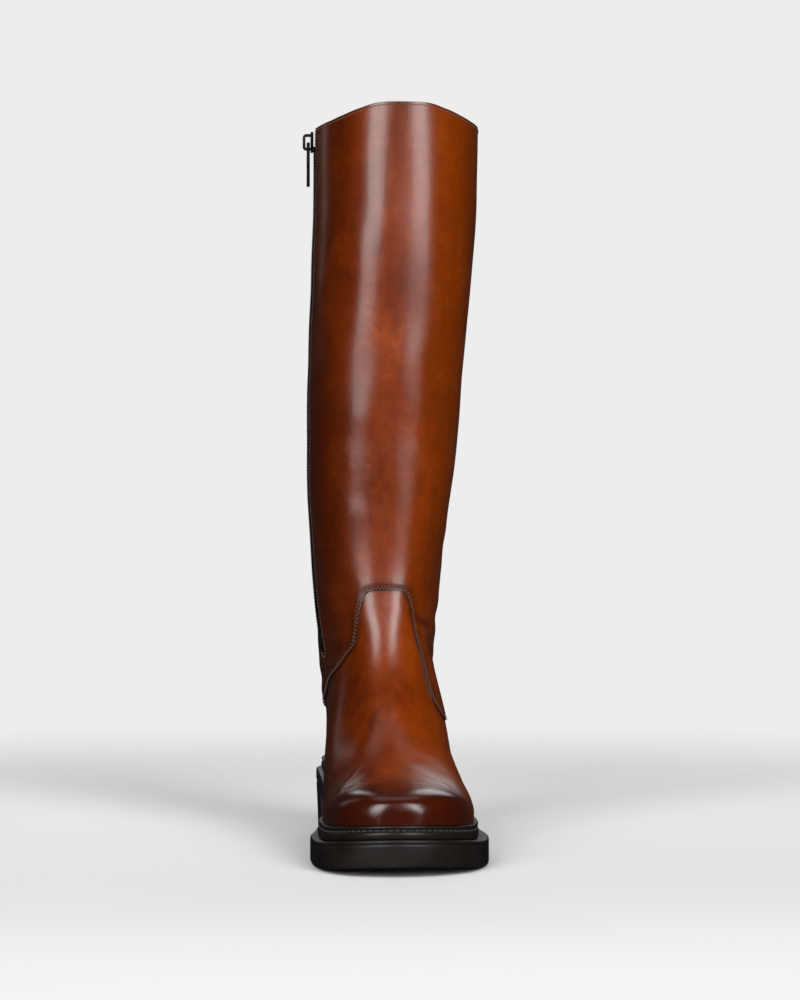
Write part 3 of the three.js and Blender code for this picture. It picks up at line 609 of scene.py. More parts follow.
CREASES_FRONT = [
    # depth, width, then x and z of points seen from the front
    (1.1, 3.6, (17, 145), (22, 142), (27, 139), (32, 136), (38, 132)),
    (0.5, 6.0, (-20, 130), (-28, 124), (-36, 120)),
    (0.4, 8.0, (22, 190), (32, 180), (40, 172)),
    (0.16, 11.0, (-34, 262), (-20, 254), (-4, 256), (8, 262)),
    (0.16, 10.0, (-30, 228), (-20, 220), (-6, 218), (6, 224)),
    (0.45, 9.0, (20, 262), (34, 250), (46, 243)),
]

CREASES_TOP = [
    # depth (negative is a ridge), width, then x and y of points seen from above
    (0.5, 3.6, (-41, -209), (-38, -198), (-30, -190), (-18, -194), (-6, -197), (6, -198),
     (18, -197), (28, -197)),
    (-0.4, 3.8, (-42, -198), (-37, -188), (-29, -176), (-21, -164), (-12, -156)),
    (-0.22, 3.6, (16, -172), (27, -181), (35, -192), (43, -204)),
    (0.22, 7.0, (2, -158), (18, -162), (34, -176), (46, -194)),
]

CREASES_SIDE = [
    # depth, width, side, then y and z of points seen from the side
    (0.9, 6.0, 1, (-64, 124), (-46, 113), (-22, 104)),
    (0.7, 7.0, 1, (-60, 152), (-40, 142), (-14, 138)),
    (0.6, 6.0, 1, (-66, 104), (-44, 92)),
    (0.6, 6.0, -1, (-78, 124), (-62, 113)),
    (0.6, 6.0, -1, (-30, 110), (-12, 102), (8, 98)),
    (0.5, 8.0, -1, (-28, 140), (-8, 130), (10, 128)),
    (0.5, 9.0, 1, (-80, 196), (-50, 186), (-20, 184)),
    (0.3, 11.0, -1, (-28, 176), (-8, 166), (10, 168)),
]


def crease_paths(tree):
    """Each crease as depth, width and a run of points on the leather."""
    paths = []

    def cast(origin, direction):
        hit = tree.ray_cast(Vector(origin), Vector(direction))[0]
        return None if hit is None else np.array(hit)

    for depth, width, *places in CREASES_FRONT:
        paths.append((depth, width, [cast((x, -500, z), (0, 1, 0)) for x, z in places]))
    for depth, width, *places in CREASES_TOP:
        paths.append((depth, width, [cast((x, y, 120), (0, 0, -1)) for x, y in places]))
    for depth, width, side, *places in CREASES_SIDE:
        paths.append((depth, width, [cast((side * 300, y, z), (-side, 0, 0)) for y, z in places]))
    kept = []
    for depth, width, run in paths:
        run = [p for p in run if p is not None]
        if len(run) > 1:
            kept.append((depth, width, np.array(run)))
    return kept


def crease_relief(points, paths):
    """Height of the leather over its smooth form, in millimetres."""
    relief = np.zeros(len(points))
    for depth, width, run in paths:
        run = finer(run, 1.5)
        low, high = run.min(axis=0) - 4 * width, run.max(axis=0) + 4 * width
        near = np.where(np.all((points > low) & (points < high), axis=1))[0]
        if not len(near):
            continue
        gap = np.linalg.norm(points[near][:, None] - run[None], axis=2)
        closest = gap.argmin(axis=1)
        share = closest / (len(run) - 1)
        fade = np.clip(np.minimum(share, 1 - share) * 3.2 + 0.12, 0, 1)
        fade = fade * fade * (3 - 2 * fade)
        d = gap.min(axis=1) / width
        relief[near] += depth * fade * (0.55 * np.exp(-((d - 1.25) ** 2) * 2.2) - np.exp(-d * d * 1.6))
    return relief


def undulation(points):
    """Slow waves of a worn shaft, in millimetres."""
    leg = np.clip((points[:, 2] - 90) / 80, 0, 1)
    waves = np.array([
        noise.noise(Vector((x * 0.02, y * 0.02, z * 0.011))) * wave_height
        + noise.noise(Vector((x * 0.045 + 7, y * 0.045, z * 0.03))) * ripple_height
        for x, y, z in points
    ])
    return waves * (0.35 + 0.65 * leg)


def toe_puff(points):
    """The stiffened toe, which swells out over the welt."""
    forward = np.clip((-puff_start - points[:, 1]) / puff_run, 0, 1)
    rise = points[:, 2] - sole_heights(points[:, 1])[2]
    arch = np.clip(1 - ((points[:, 0] - 1) / puff_half_width) ** 2, 0, 1)
    swell = np.exp(-((rise - puff_rise) / puff_spread) ** 2)
    return puff_height * arch * forward * forward * (3 - 2 * forward) * swell


grid = upper_grid()
normals = grid_normals(grid)
flat = grid.reshape(-1, 3)
flat_normals = normals.reshape(-1, 3)
form_faces = cap_faces(0, grid.shape[1], False) + band_faces(grid.shape[0], grid.shape[1])
form_faces = [face[::-1] for face in form_faces]
smooth_tree = BVHTree.FromPolygons(flat.tolist(), form_faces)
paths = crease_paths(smooth_tree)
relief = crease_relief(flat, paths)
near_sole = np.clip((flat[:, 2] - sole_heights(flat[:, 1])[2] - calm_start) / calm_run, 0, 1)
near_collar = np.clip((leg_height - flat[:, 2]) / calm_collar, 0.35, 1)
lift = (relief + undulation(flat) * near_collar) * near_sole + toe_puff(flat)
worn = flat + flat_normals * lift[:, None]
worn_tree = BVHTree.FromPolygons(worn.tolist(), form_faces)


def sheet_points(depth):
    """Points of the worn form at a depth, each with its relief beside it."""
    return np.concatenate([worn - flat_normals * depth, relief[:, None]], axis=1)


def coarse_sheet(depth):
    """The sheet with every second point, for the plain inside."""
    rows, columns = grid.shape[:2]
    kept = np.append(np.arange(0, rows - 1, 2), rows - 1)
    sheet = sheet_points(depth).reshape(rows, columns, 4)[kept, ::2]
    rows, columns = sheet.shape[:2]
    faces = cap_faces(0, columns, False) + band_faces(rows, columns)
    return sheet.reshape(-1, 4), [face[::-1] for face in faces]


def leather_x(y, z):
    """How far out the worn leather stands on its inner side."""
    hit = worn_tree.ray_cast(Vector((-300, y, z)), Vector((1, 0, 0)))[0]
    return hit.x


def over_welt(points):
    """Height over the welt's top."""
    return points[:, 2] - sole_heights(points[:, 1])[2] - fit


def beside_slot(points, spare=0.0):
    """Positive outside the zip's slot."""
    half = slot_half(points[:, 2]) + spare
    inner = points[:, 0] < 0
    across = np.abs(points[:, 1] - zip_y(points[:, 2])) - half
    under = (zip_bottom - spare) - points[:, 2]
    return np.where(inner, np.maximum(across, under), 50)


def compact(points, faces):
    """Drops the points that no face uses."""
    used = np.unique(np.concatenate([np.asarray(face) for face in faces]))
    new = np.full(len(points), -1)
    new[used] = np.arange(len(used))
    return points[used], [tuple(int(new[v]) for v in face) for face in faces]


def drawn_down(points, runs):
    """Points near a sewn edge, pulled in by its stitches."""
    points = points.copy()
    gap = distance_to(points, runs)
    for k in np.where(gap < seam_pull_reach)[0]:
        normal = worn_tree.find_nearest(Vector(points[k, :3]))[1]
        share = 1 - gap[k] / seam_pull_reach
        points[k, :3] -= np.array(normal) * seam_pull * share * share * (3 - 2 * share)
    return points


def shaft_sheet():
    """The leg of the upper, with its lower edge over the vamp, and the lines that stitches follow."""
    points, faces = sheet_points(0), form_faces
    edges = {}
    points, faces, cut = clip(points, faces, points[:, 2] - seam_height(points[:, 0], points[:, 1]))
    edges["seam"] = chains(points, cut)[:1]
    points, faces, cut = clip(points, faces, collar_height(points[:, 1]) - points[:, 2])
    edges["collar"] = chains(points, cut)[:1]
    points, faces, cut = clip(points, faces, beside_slot(points))
    edges["slot"] = [run for run in chains(points, cut) if len(run) > 10]
    points, faces, _ = clip(points, faces, over_welt(points))
    points, faces = compact(points, faces)
    return drawn_down(points, edges["seam"]), faces, edges


def thick(obj, thickness, rim=0.35):
    """Gives a sheet its thickness inwards, with eased rims."""
    modifier(obj, "SOLIDIFY", "wall", thickness=thickness * MM, offset=-1, use_even_offset=False)
    modifier(obj, "BEVEL", "rim", width=rim * MM, segments=2, limit_method="ANGLE",
             angle_limit=math.radians(50), harden_normals=False)
    return baked(obj)


# Shader maths

class Value:
    """A number socket whose operators add Math nodes."""

    def __init__(self, shader, socket):
        self.shader = shader
        self.socket = socket

    def math(self, operation, *others):
        node = self.shader.nodes.new("ShaderNodeMath")
        node.operation = operation
        for slot, item in zip(node.inputs, (self, *others)):
            self.shader.feed(slot, item)
        return Value(self.shader, node.outputs[0])

    def __add__(self, other):
        return self.math("ADD", other)

    def __sub__(self, other):
        return self.math("SUBTRACT", other)

    def __mul__(self, other):
        return self.math("MULTIPLY", other)

    def __rsub__(self, other):
        return (self * -1) + other

    __radd__ = __add__
    __rmul__ = __mul__

    def between(self, low, high):
        """0 under low, 1 over high, smooth between."""
        node = self.shader.node("ShaderNodeMapRange", {"interpolation_type": "SMOOTHSTEP"},
                                {"Value": self, "From Min": low, "From Max": high})
        return Value(self.shader, node.outputs["Result"])


class Shader:
    """A Principled material and the nodes that feed it."""

    def __init__(self, name, **settings):
        self.material = bpy.data.materials.new(name)
        self.material.use_nodes = True
        self.tree = self.material.node_tree
        self.nodes = self.tree.nodes
        self.main = self.nodes["Principled BSDF"]
        for key, value in settings.items():
            self.main.inputs[key.replace("_", " ")].default_value = value
        self.place = self.node("ShaderNodeTexCoord").outputs["Object"]

    def feed(self, slot, item):
        if isinstance(item, Value):
            item = item.socket
        if isinstance(item, bpy.types.NodeSocket):
            self.tree.links.new(item, slot)
        else:
            slot.default_value = item

    def node(self, kind, settings=None, inputs=None):
        made = self.nodes.new(kind)
        for key, value in (settings or {}).items():
            setattr(made, key, value)
        for key, value in (inputs or {}).items():
            self.feed(made.inputs[key], value)
        return made

    def attribute(self, name):
        return Value(self, self.node("ShaderNodeAttribute", {"attribute_name": name}).outputs["Fac"])

    def scaled(self, scale):
        """The place with its axes scaled."""
        made = self.node("ShaderNodeMapping", None, {"Vector": self.place, "Scale": scale})
        return made.outputs["Vector"]

    def noise(self, scale, detail=4, roughness=0.55, stretch=(1, 1, 1), distortion=0.0):
        made = self.node("ShaderNodeTexNoise", None, {
            "Vector": self.scaled(stretch), "Scale": scale, "Detail": detail,
            "Roughness": roughness, "Distortion": distortion,
        })
        return Value(self, made.outputs["Fac"])

    def cells(self, scale):
        made = self.node("ShaderNodeTexVoronoi", None, {"Vector": self.place, "Scale": scale})
        return Value(self, made.outputs["Distance"])

    def mix(self, amount, low, high):
        made = self.node("ShaderNodeMix", {"data_type": "RGBA"})
        self.feed(made.inputs[0], amount)
        self.feed(made.inputs[6], low)
        self.feed(made.inputs[7], high)
        return made.outputs[2]

    def bump(self, height, distance, strength=1.0, under=None):
        made = self.node("ShaderNodeBump", None, {
            "Height": height, "Distance": distance, "Strength": strength,
        })
        if under is not None:
            self.feed(made.inputs["Normal"], under)
        return made.outputs["Normal"]

    def finish(self, **inputs):
        for key, value in inputs.items():
            self.feed(self.main.inputs[key.replace("_", " ")], value)
        return self.material


def rgb(r, g, b):
    return (r, g, b, 1.0)


def leather_finish():
    """Burnished cognac calf: mottled, darker along seams and rims, fine grain; the seams' darkening is
    burnish plus painted shade, with painted shade on the inner side and in crease troughs and painted light
    on the outer side and crease ridges.
    """
    s = Shader("burnished_leather", Coat_Roughness=0.12, Specular_IOR_Level=0.42)
    seam = s.attribute("seam")
    rim = s.attribute("rim")
    crease = s.attribute("crease")
    split = s.node("ShaderNodeSeparateXYZ", None, {"Vector": s.place})
    across, along, height = (Value(s, split.outputs[axis]) for axis in "XYZ")
    cloud = s.noise(9, 5, 0.6, (1, 1, 0.55), 0.4)
    blotch = s.noise(38, 5, 0.62, (1, 1, 0.7), 0.3)
    speck = s.noise(240, 4, 0.6)
    tone = (cloud * 0.55 + blotch * 0.33 + speck * 0.12).between(0.34, 0.66)
    colour = s.mix(tone, rgb(0.046, 0.0052, 0.0002), rgb(0.138, 0.0196, 0.0003))
    light_spots = (blotch * 0.6 + speck * 0.4).between(0.54, 0.74) * 0.5
    colour = s.mix(light_spots, colour, rgb(0.19, 0.035, 0.0006))
    # Painted light: the outer side lighter, as the light falls on it more.
    outer_side_light = across.between(-0.005, 0.045) * 0.3
    colour = s.mix(outer_side_light, colour, rgb(0.17, 0.0295, 0.0003))
    # Darker band beside the seams: burnish on the leather, plus painted shade of the shallow valley the
    # stitches pull in.
    seam_burnish_and_shade = (1 - seam.between(2.0, 10)) * 0.6
    colour = s.mix(seam_burnish_and_shade, colour, rgb(0.010, 0.0022, 0.0008))
    edge = (1 - rim.between(0.3, 1.3)) * 0.8
    colour = s.mix(edge, colour, rgb(0.016, 0.0045, 0.0022))
    polish = (1 - along.between(-0.218, -0.165)) * (1 - height.between(0.048, 0.06))
    colour = s.mix(polish * 0.9, colour, rgb(0.017, 0.0016, 0.0004))
    medial = 1 - across.between(-0.046, -0.002)
    shade = medial * (0.72 - height.between(0.10, 0.17) * 0.1)
    colour = s.mix(shade, colour, rgb(0.018, 0.0028, 0.0006))
    # Painted shade in the creases' troughs.
    trough_shade = (crease * -1).between(0.1, 1.0) * 0.4
    colour = s.mix(trough_shade, colour, rgb(0.014, 0.0024, 0.0006))
    # Painted light on the crease ridges.
    ridge = crease.between(0.08, 0.5) * 0.28
    colour = s.mix(ridge, colour, rgb(0.12, 0.027, 0.003))
    grain = s.cells(1500)
    pores = s.noise(2600, 2, 0.5)
    wrinkle = s.noise(330, 5, 0.62, (1, 1, 0.8), 0.6)
    scuff = s.noise(70, 6, 0.7, (1, 1, 0.4), 1.2).between(0.62, 0.80)
    normal = s.bump(grain * 0.6 + pores * 0.4, 0.00010, 0.55)
    normal = s.bump(wrinkle, 0.00022, 0.4, normal)
    flexed = along.between(-0.206, -0.190) * (1 - along.between(-0.166, -0.140))
    rough = 0.195 - polish * 0.04 + flexed * 0.14 + tone * 0.05 + scuff * 0.05 + pores * 0.05
    return s.finish(Base_Color=colour, Roughness=rough, Coat_Weight=0.1 - scuff * 0.08, Normal=normal)


def lining_finish():
    """Plain tan leather."""
    s = Shader("lining_leather", Specular_IOR_Level=0.35)
    tone = s.noise(26, 4, 0.6)
    grain = s.cells(1700)
    colour = s.mix(tone.between(0.3, 0.7), rgb(0.15, 0.075, 0.034), rgb(0.22, 0.12, 0.06))
    return s.finish(Base_Color=colour, Roughness=0.62 + tone * 0.12,
                    Normal=s.bump(grain, 0.00015, 0.5))


def rubber_finish(name, dark, light, rough):
    """Black-brown rubber with a little dust."""
    s = Shader(name, Specular_IOR_Level=0.22)
    cloud = s.noise(22, 5, 0.6)
    dust = s.noise(420, 3, 0.6)
    colour = s.mix(cloud.between(0.3, 0.7), dark, light)
    scuffs = s.noise(120, 6, 0.7, (0.5, 0.5, 2.0), 0.8).between(0.6, 0.75)
    colour = s.mix(scuffs * 0.2, colour, rgb(0.035, 0.031, 0.028))
    normal = s.bump(dust, 0.0002, 0.5)
    return s.finish(Base_Color=colour, Roughness=rough + scuffs * 0.15 + cloud * 0.08, Normal=normal)


def thread_finish(name, colour, light):
    """Twisted waxed thread."""
    s = Shader(name, Specular_IOR_Level=0.3, Sheen_Weight=0.1)
    twist = Value(s, s.node("ShaderNodeTexWave", {"bands_direction": "DIAGONAL"},
                            {"Vector": s.place, "Scale": 900.0, "Distortion": 1.0}).outputs["Fac"])
    return s.finish(Base_Color=s.mix(twist, colour, light), Roughness=0.6 + twist * 0.1,
                    Normal=s.bump(twist, 0.0001, 0.6))


def tape_finish():
    """Ribbed dark tape."""
    s = Shader("woven_tape", Specular_IOR_Level=0.25, Sheen_Weight=0.15)
    weave = s.noise(1900, 2, 0.5, (1, 1, 0.35))
    rib = Value(s, s.node("ShaderNodeTexWave", {"bands_direction": "Z"},
                          {"Vector": s.place, "Scale": 420.0, "Distortion": 0.6}).outputs["Fac"])
    colour = s.mix(rib * 0.6 + weave * 0.4, rgb(0.004, 0.003, 0.0026), rgb(0.014, 0.0105, 0.0085))
    return s.finish(Base_Color=colour, Roughness=0.85 + weave * 0.1,
                    Normal=s.bump(rib * 0.6 + weave * 0.4, 0.00025, 0.8))


def metal_finish():
    """Dark smudged metal."""
    s = Shader("gunmetal", Metallic=1.0)
    smudge = s.noise(160, 5, 0.6)
    lines = s.noise(900, 3, 0.6, (0.2, 1, 3))
    colour = s.mix(smudge.between(0.3, 0.7), rgb(0.012, 0.010, 0.009), rgb(0.030, 0.026, 0.023))
    return s.finish(Base_Color=colour, Roughness=0.22 + smudge * 0.16 + lines * 0.06,
                    Normal=s.bump(lines, 0.00005, 0.4))


# Rows of stitches and teeth

def row_tree():
    """Geometry nodes that set a small rounded form along a curve at a pitch."""
    tree = bpy.data.node_groups.new("row_on_path", "GeometryNodeTree")
    sockets = (
        ("Path", "INPUT", "NodeSocketGeometry"), ("Form", "INPUT", "NodeSocketObject"),
        ("Pitch", "INPUT", "NodeSocketFloat"), ("Size", "INPUT", "NodeSocketVector"),
        ("Finish", "INPUT", "NodeSocketMaterial"), ("Row", "OUTPUT", "NodeSocketGeometry"),
    )
    for name, way, kind in sockets:
        tree.interface.new_socket(name, in_out=way, socket_type=kind)
    nodes, links = tree.nodes, tree.links
    given, out = nodes.new("NodeGroupInput"), nodes.new("NodeGroupOutput")
    to_curve = nodes.new("GeometryNodeMeshToCurve")
    resample = nodes.new("GeometryNodeResampleCurve")
    resample.mode = "LENGTH"
    tangent = nodes.new("GeometryNodeInputTangent")
    align = nodes.new("FunctionNodeAlignRotationToVector")
    align.axis = "Z"
    form = nodes.new("GeometryNodeObjectInfo")
    instances = nodes.new("GeometryNodeInstanceOnPoints")
    realize = nodes.new("GeometryNodeRealizeInstances")
    finished = nodes.new("GeometryNodeSetMaterial")
    links.new(given.outputs["Path"], to_curve.inputs["Mesh"])
    links.new(to_curve.outputs["Curve"], resample.inputs["Curve"])
    links.new(given.outputs["Pitch"], resample.inputs["Length"])
    links.new(tangent.outputs["Tangent"], align.inputs["Vector"])
    links.new(given.outputs["Form"], form.inputs["Object"])
    links.new(resample.outputs["Curve"], instances.inputs["Points"])
    links.new(form.outputs["Geometry"], instances.inputs["Instance"])
    links.new(align.outputs["Rotation"], instances.inputs["Rotation"])
    links.new(given.outputs["Size"], instances.inputs["Scale"])
    links.new(instances.outputs["Instances"], realize.inputs["Geometry"])
    links.new(realize.outputs["Geometry"], finished.inputs["Geometry"])
    links.new(given.outputs["Finish"], finished.inputs["Material"])
    links.new(finished.outputs["Geometry"], out.inputs["Row"])
    return tree


def capsule(sides=7):
    """A stitch of unit size along Z."""
    profile = ((-0.5, 0.0), (-0.44, 0.3), (-0.3, 0.46), (0.0, 0.5), (0.3, 0.46), (0.44, 0.3), (0.5, 0.0))
    points, faces = [(0, 0, profile[0][0])], []
    for z, r in profile[1:-1]:
        for k in range(sides):
            turn = 2 * math.pi * k / sides
            points.append((r * math.cos(turn), r * math.sin(turn), z))
    points.append((0, 0, profile[-1][0]))
    for k in range(sides):
        faces.append((0, 1 + (k + 1) % sides, 1 + k))
    rings = len(profile) - 2
    for i in range(rings - 1):
        for k in range(sides):
            a, b = 1 + i * sides, 1 + (i + 1) * sides
            n = (k + 1) % sides
            faces.append((a + k, a + n, b + n, b + k))
    last = 1 + (rings - 1) * sides
    for k in range(sides):
        faces.append((last + k, last + (k + 1) % sides, len(points) - 1))
    mesh = bpy.data.meshes.new("stitch_form")
    mesh.from_pydata(points, [], faces)
    set_smooth(mesh, True)
    return mesh


def row_on_path(name, runs, pitch, size, finish, form):
    """One mesh of small forms along runs of points; pitch and size in millimetres."""
    points, edges = [], []
    for run in runs:
        run = finer(run, 0.7)
        start = len(points)
        points.extend((run * MM).tolist())
        edges.extend((start + k, start + k + 1) for k in range(len(run) - 1))
    mesh = bpy.data.meshes.new(name)
    mesh.from_pydata(points, edges, [])
    obj = bpy.data.objects.new(name, mesh)
    bpy.context.collection.objects.link(obj)
    holder = bpy.data.objects.new(name + "_form", form)
    bpy.context.collection.objects.link(holder)
    made = modifier(obj, "NODES", "row", node_group=ROW_TREE)
    values = {"Form": holder, "Pitch": pitch * MM, "Size": [v * MM for v in size], "Finish": finish}
    for item in ROW_TREE.interface.items_tree:
        if item.name in values:
            made[item.identifier] = values[item.name]
    baked(obj)
    paint(obj, finish)
    obj.data.polygons.foreach_set("material_index", [0] * len(obj.data.polygons))
    bpy.data.objects.remove(holder)
    set_smooth(obj.data, True)
    return obj


def lifted(runs, amount):
    """Runs moved outwards from the worn leather."""
    out = []
    for run in runs:
        moved = []
        for p in run:
            hit, normal, _, _ = worn_tree.find_nearest(Vector(p))
            if normal.dot(Vector(p) - Vector((p[0] * 0.1, -35, p[2]))) < 0:
                normal = -normal
            moved.append(np.array(hit + normal * amount))
        out.append(np.array(moved))
    return out


def place(obj, body, slot, *nodes):
    """Sets the piece on its body and hides the nodes it stands for; the slot is not used."""
    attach(obj, body)
    if nodes:
        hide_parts(*nodes)


def paint(obj, finish):
    obj.data.materials.clear()
    obj.data.materials.append(finish)
    return obj


# Pieces of the upper

leather = leather_finish()
lining = lining_finish()
outsole_rubber = rubber_finish(
    "outsole_black", rgb(0.0050, 0.0040, 0.0035), rgb(0.0095, 0.0078, 0.0068), 0.36)
welt_rubber = rubber_finish(
    "welt_black", rgb(0.0055, 0.0040, 0.0033), rgb(0.010, 0.0076, 0.0062), 0.28)
dark_thread = thread_finish("dark_thread", rgb(0.034, 0.014, 0.008), rgb(0.115, 0.062, 0.039))
black_thread = thread_finish("black_thread", rgb(0.008, 0.0065, 0.0055), rgb(0.033, 0.027, 0.023))
tape = tape_finish()
gunmetal = metal_finish()
ROW_TREE = row_tree()
stitch_form = capsule()


def build_shaft(points, faces, edges, seam_gap):
    """The leg, lapping over the vamp as a step."""
    leg = mesh_object("shaft", points, faces)
    add_attribute(leg, "seam", seam_gap)
    add_attribute(leg, "rim", distance_to(points, edges["collar"] + edges["slot"] + edges["seam"]))
    add_attribute(leg, "crease", points[:, 3])
    thick(leg, lap + 0.1)
    place(paint(leg, leather), "boot", "upper_leather", "upper")


def build_vamp(seam):
    """The foot's leather, which runs on a little way under the shaft."""
    points, faces = sheet_points(lap), form_faces
    above = points[:, 2] - seam_height(points[:, 0], points[:, 1])
    points, faces, _ = clip(points, faces, seam_flap - above)
    points, faces, _ = clip(points, faces, over_welt(points))
    points, faces = compact(points, faces)
    vamp = mesh_object("vamp", points, faces)
    above = points[:, 2] - seam_height(points[:, 0], points[:, 1])
    gap = distance_to(points, seam)
    # Painted shade: the vamp takes the seam's darkening as a narrow band just below the shaft's edge, under
    # the step, and is fully dark where it runs under the shaft.
    add_attribute(vamp, "seam", np.where(above > 0, 0, gap * 2.2 + 2.5))
    add_attribute(vamp, "rim", np.clip(over_welt(points) * 0.55 + 0.9, 0, 30))
    add_attribute(vamp, "crease", points[:, 3])
    thick(vamp, vamp_thickness, 0.2)
    place(paint(vamp, leather), "boot", "upper_leather", "upper")


def build_lining():
    """The plain inside, from just under the collar down to the insole."""
    points, faces = coarse_sheet(lap + lining_start)
    under_rim = collar_height(points[:, 1]) - lining_inset - points[:, 2]
    points, faces, _ = clip(points, faces, under_rim)
    points, faces, _ = clip(points, faces, beside_slot(points, -lining_overhang))
    points, faces, _ = clip(points, faces, over_welt(points))
    points, faces = compact(points, faces)
    inside = thick(mesh_object("lining", points, faces), wall - lining_start, 0.15)
    place(paint(inside, lining), "boot", "upper_leather", "upper")


def build_upper_stitches(points, faces, edges, seam_gap):
    """A double row over the vamp, and single rows at the collar and round the zip."""
    rows = {
        # distance to follow, levels from the edge, pitch, size
        "seam_stitches": (seam_gap, (0.95, 2.15), 2.3, (0.55, 0.6, 1.35)),
        "collar_stitches": (distance_to(points, edges["collar"]), (1.9,), 2.1, (0.6, 0.6, 1.6)),
        "zip_stitches": (distance_to(points, edges["slot"]), (1.7,), 2.1, (0.6, 0.6, 1.6)),
    }
    for name, (gaps, levels, pitch, size) in rows.items():
        runs = []
        for level in levels:
            runs += [run for run in contour(points, faces, gaps - level) if len(run) > 12]
        runs = lifted(runs, stitch_lift)
        place(row_on_path(name, runs, pitch, size, dark_thread, stitch_form), "boot", "upper_leather")


def build_upper():
    points, faces, edges = shaft_sheet()
    seam_gap = distance_to(points, edges["seam"])
    build_shaft(points, faces, edges, seam_gap)
    build_vamp(edges["seam"])
    build_lining()
    build_upper_stitches(points, faces, edges, seam_gap)


def build_insole():
    """A padded sock on the insole, between the walls."""
    walls = flat - flat_normals * (lap + wall + insole_gap)
    middle_tree = BVHTree.FromPolygons(walls.tolist(), form_faces)
    inner, outer = drawn_in(drawn_by(insole_edge))
    across = np.linspace(-1, 1, 25)
    rings = []
    for y in np.linspace(flat[:, 1].min(), heel_back, 170):
        seat = float(sole_heights(np.array([y]))[2][0]) + 2 * fit
        middle = float(chain_x(inner, y) + chain_x(outer, y)) / 2
        start = Vector((middle, y, seat + 1.5))
        hits = [middle_tree.ray_cast(start, Vector((side, 0, 0)))[0] for side in (-1, 1)]
        if None in hits or hits[1].x - hits[0].x < insole_least:
            continue
        x = hits[0].x + (across + 1) / 2 * (hits[1].x - hits[0].x)
        top = seat + insole_thickness - insole_crown * np.abs(across) ** 9
        over = np.stack([x, 0 * x + y, top], axis=1)
        under = np.stack([x, 0 * x + y, 0 * x + seat], axis=1)
        rings.append(np.concatenate([over, under[::-1]]))
    place(paint(ringed("insole_sock", rings), lining), "boot", "insole_leather", "insole")


# Pieces of the sole

WELT_FACE = [
    # up, in
    (0.03, 0.9), (0.05, 0.45), (0.1, 0.16), (0.18, 0.02), (0.28, 0), (0.38, 0.02), (0.47, 0.16),
    (0.54, 0.5), (0.575, 1.0), (0.6, 1.45), (0.64, 1.62), (0.68, 1.45), (0.71, 1.0), (0.74, 0.62),
    (0.79, 0.36), (0.85, 0.28), (0.91, 0.38), (0.96, 0.7), (0.99, 1.2), (1.0, 1.8), (0.99, 2.6),
]
STATIONS = 96


def end_shares(count):
    """Shares of the outline's length, close together at both of its round ends."""
    return 0.5 - 0.5 * np.cos(math.pi * (np.arange(count) + 0.4) / (count - 0.2))


def heel_shares(count):
    """Shares of the heel block's length, close together at its round back."""
    return 1 - np.cos(math.pi / 2 * (np.arange(count) + 0.4) / (count - 0.6))


def ringed(name, rings, loop=False):
    """A closed piece lofted through rings."""
    count = len(rings[0])
    faces = band_faces(len(rings), count, loop)
    if not loop:
        faces += cap_faces(0, count, False) + cap_faces((len(rings) - 1) * count, count, True)
    return outward(mesh_object(name, np.concatenate(rings), faces))


def build_welt():
    """The band round the upper's foot, and the stitches in its groove."""
    shares = end_shares(STATIONS)
    rings = []
    for up, inset in WELT_FACE:
        def height(y, up=up):
            _, ledge, top = sole_heights(y)
            return ledge + welt_seat + up * (top - ledge - welt_seat)
        rings.append(sole_ring(past_ledge(inset), height, shares))
    for height in (lambda y: sole_heights(y)[2] - 0.1, lambda y: sole_heights(y)[1] + welt_seat):
        rings.append(sole_ring(past_ledge(welt_shelf + welt_hold), height, shares))
    welt = paint(ringed("welt_band", rings, True), welt_rubber)
    place(welt, "boot", "welt_rubber", "welt")

    def groove(y):
        _, ledge, top = sole_heights(y)
        return ledge + welt_seat + groove_up * (top - ledge)
    line = sole_ring(past_ledge(groove_in), groove, end_shares(240))
    run = np.concatenate([line, line[:1]])
    stitches = row_on_path("welt_stitches", [run], 3.9, (1.1, 1.1, 3.0), black_thread, stitch_form)
    place(stitches, "boot", "welt_rubber")


def build_outsole():
    """The outsole with its rounded lower edge, side line and bevelled ledge."""
    shares = end_shares(STATIONS)
    r, b = sole_rounding, ledge_bevel

    def level(pick, shift):
        return lambda y: sole_heights(y)[pick] + shift
    steps = [
        # in from the outline, height to follow (0 underside, 1 ledge), shift
        (r, 0, 0), (0.62 * r, 0, 0.08 * r), (0.29 * r, 0, 0.29 * r), (0.08 * r, 0, 0.62 * r), (0, 0, r),
        (0, 1, -3.4 * b), (0, 1, -2.3 * b), (0.42, 1, -2.15 * b), (0.45, 1, -1.95 * b), (0.05, 1, -1.8 * b),
        (0, 1, -1.2 * b), (0.2 * b, 1, -0.55 * b), (0.62 * b, 1, -0.16 * b), (1.3 * b, 1, 0),
    ]
    rings = [sole_ring(drawn_by(inset), level(pick, shift), shares) for inset, pick, shift in steps]
    for pick in (1, 2):
        rings.append(sole_ring(past_ledge(welt_shelf + welt_hold + fit), level(pick, 0), shares))
    place(paint(ringed("outsole_unit", rings), outsole_rubber), "boot", "outsole_rubber", "outsole")


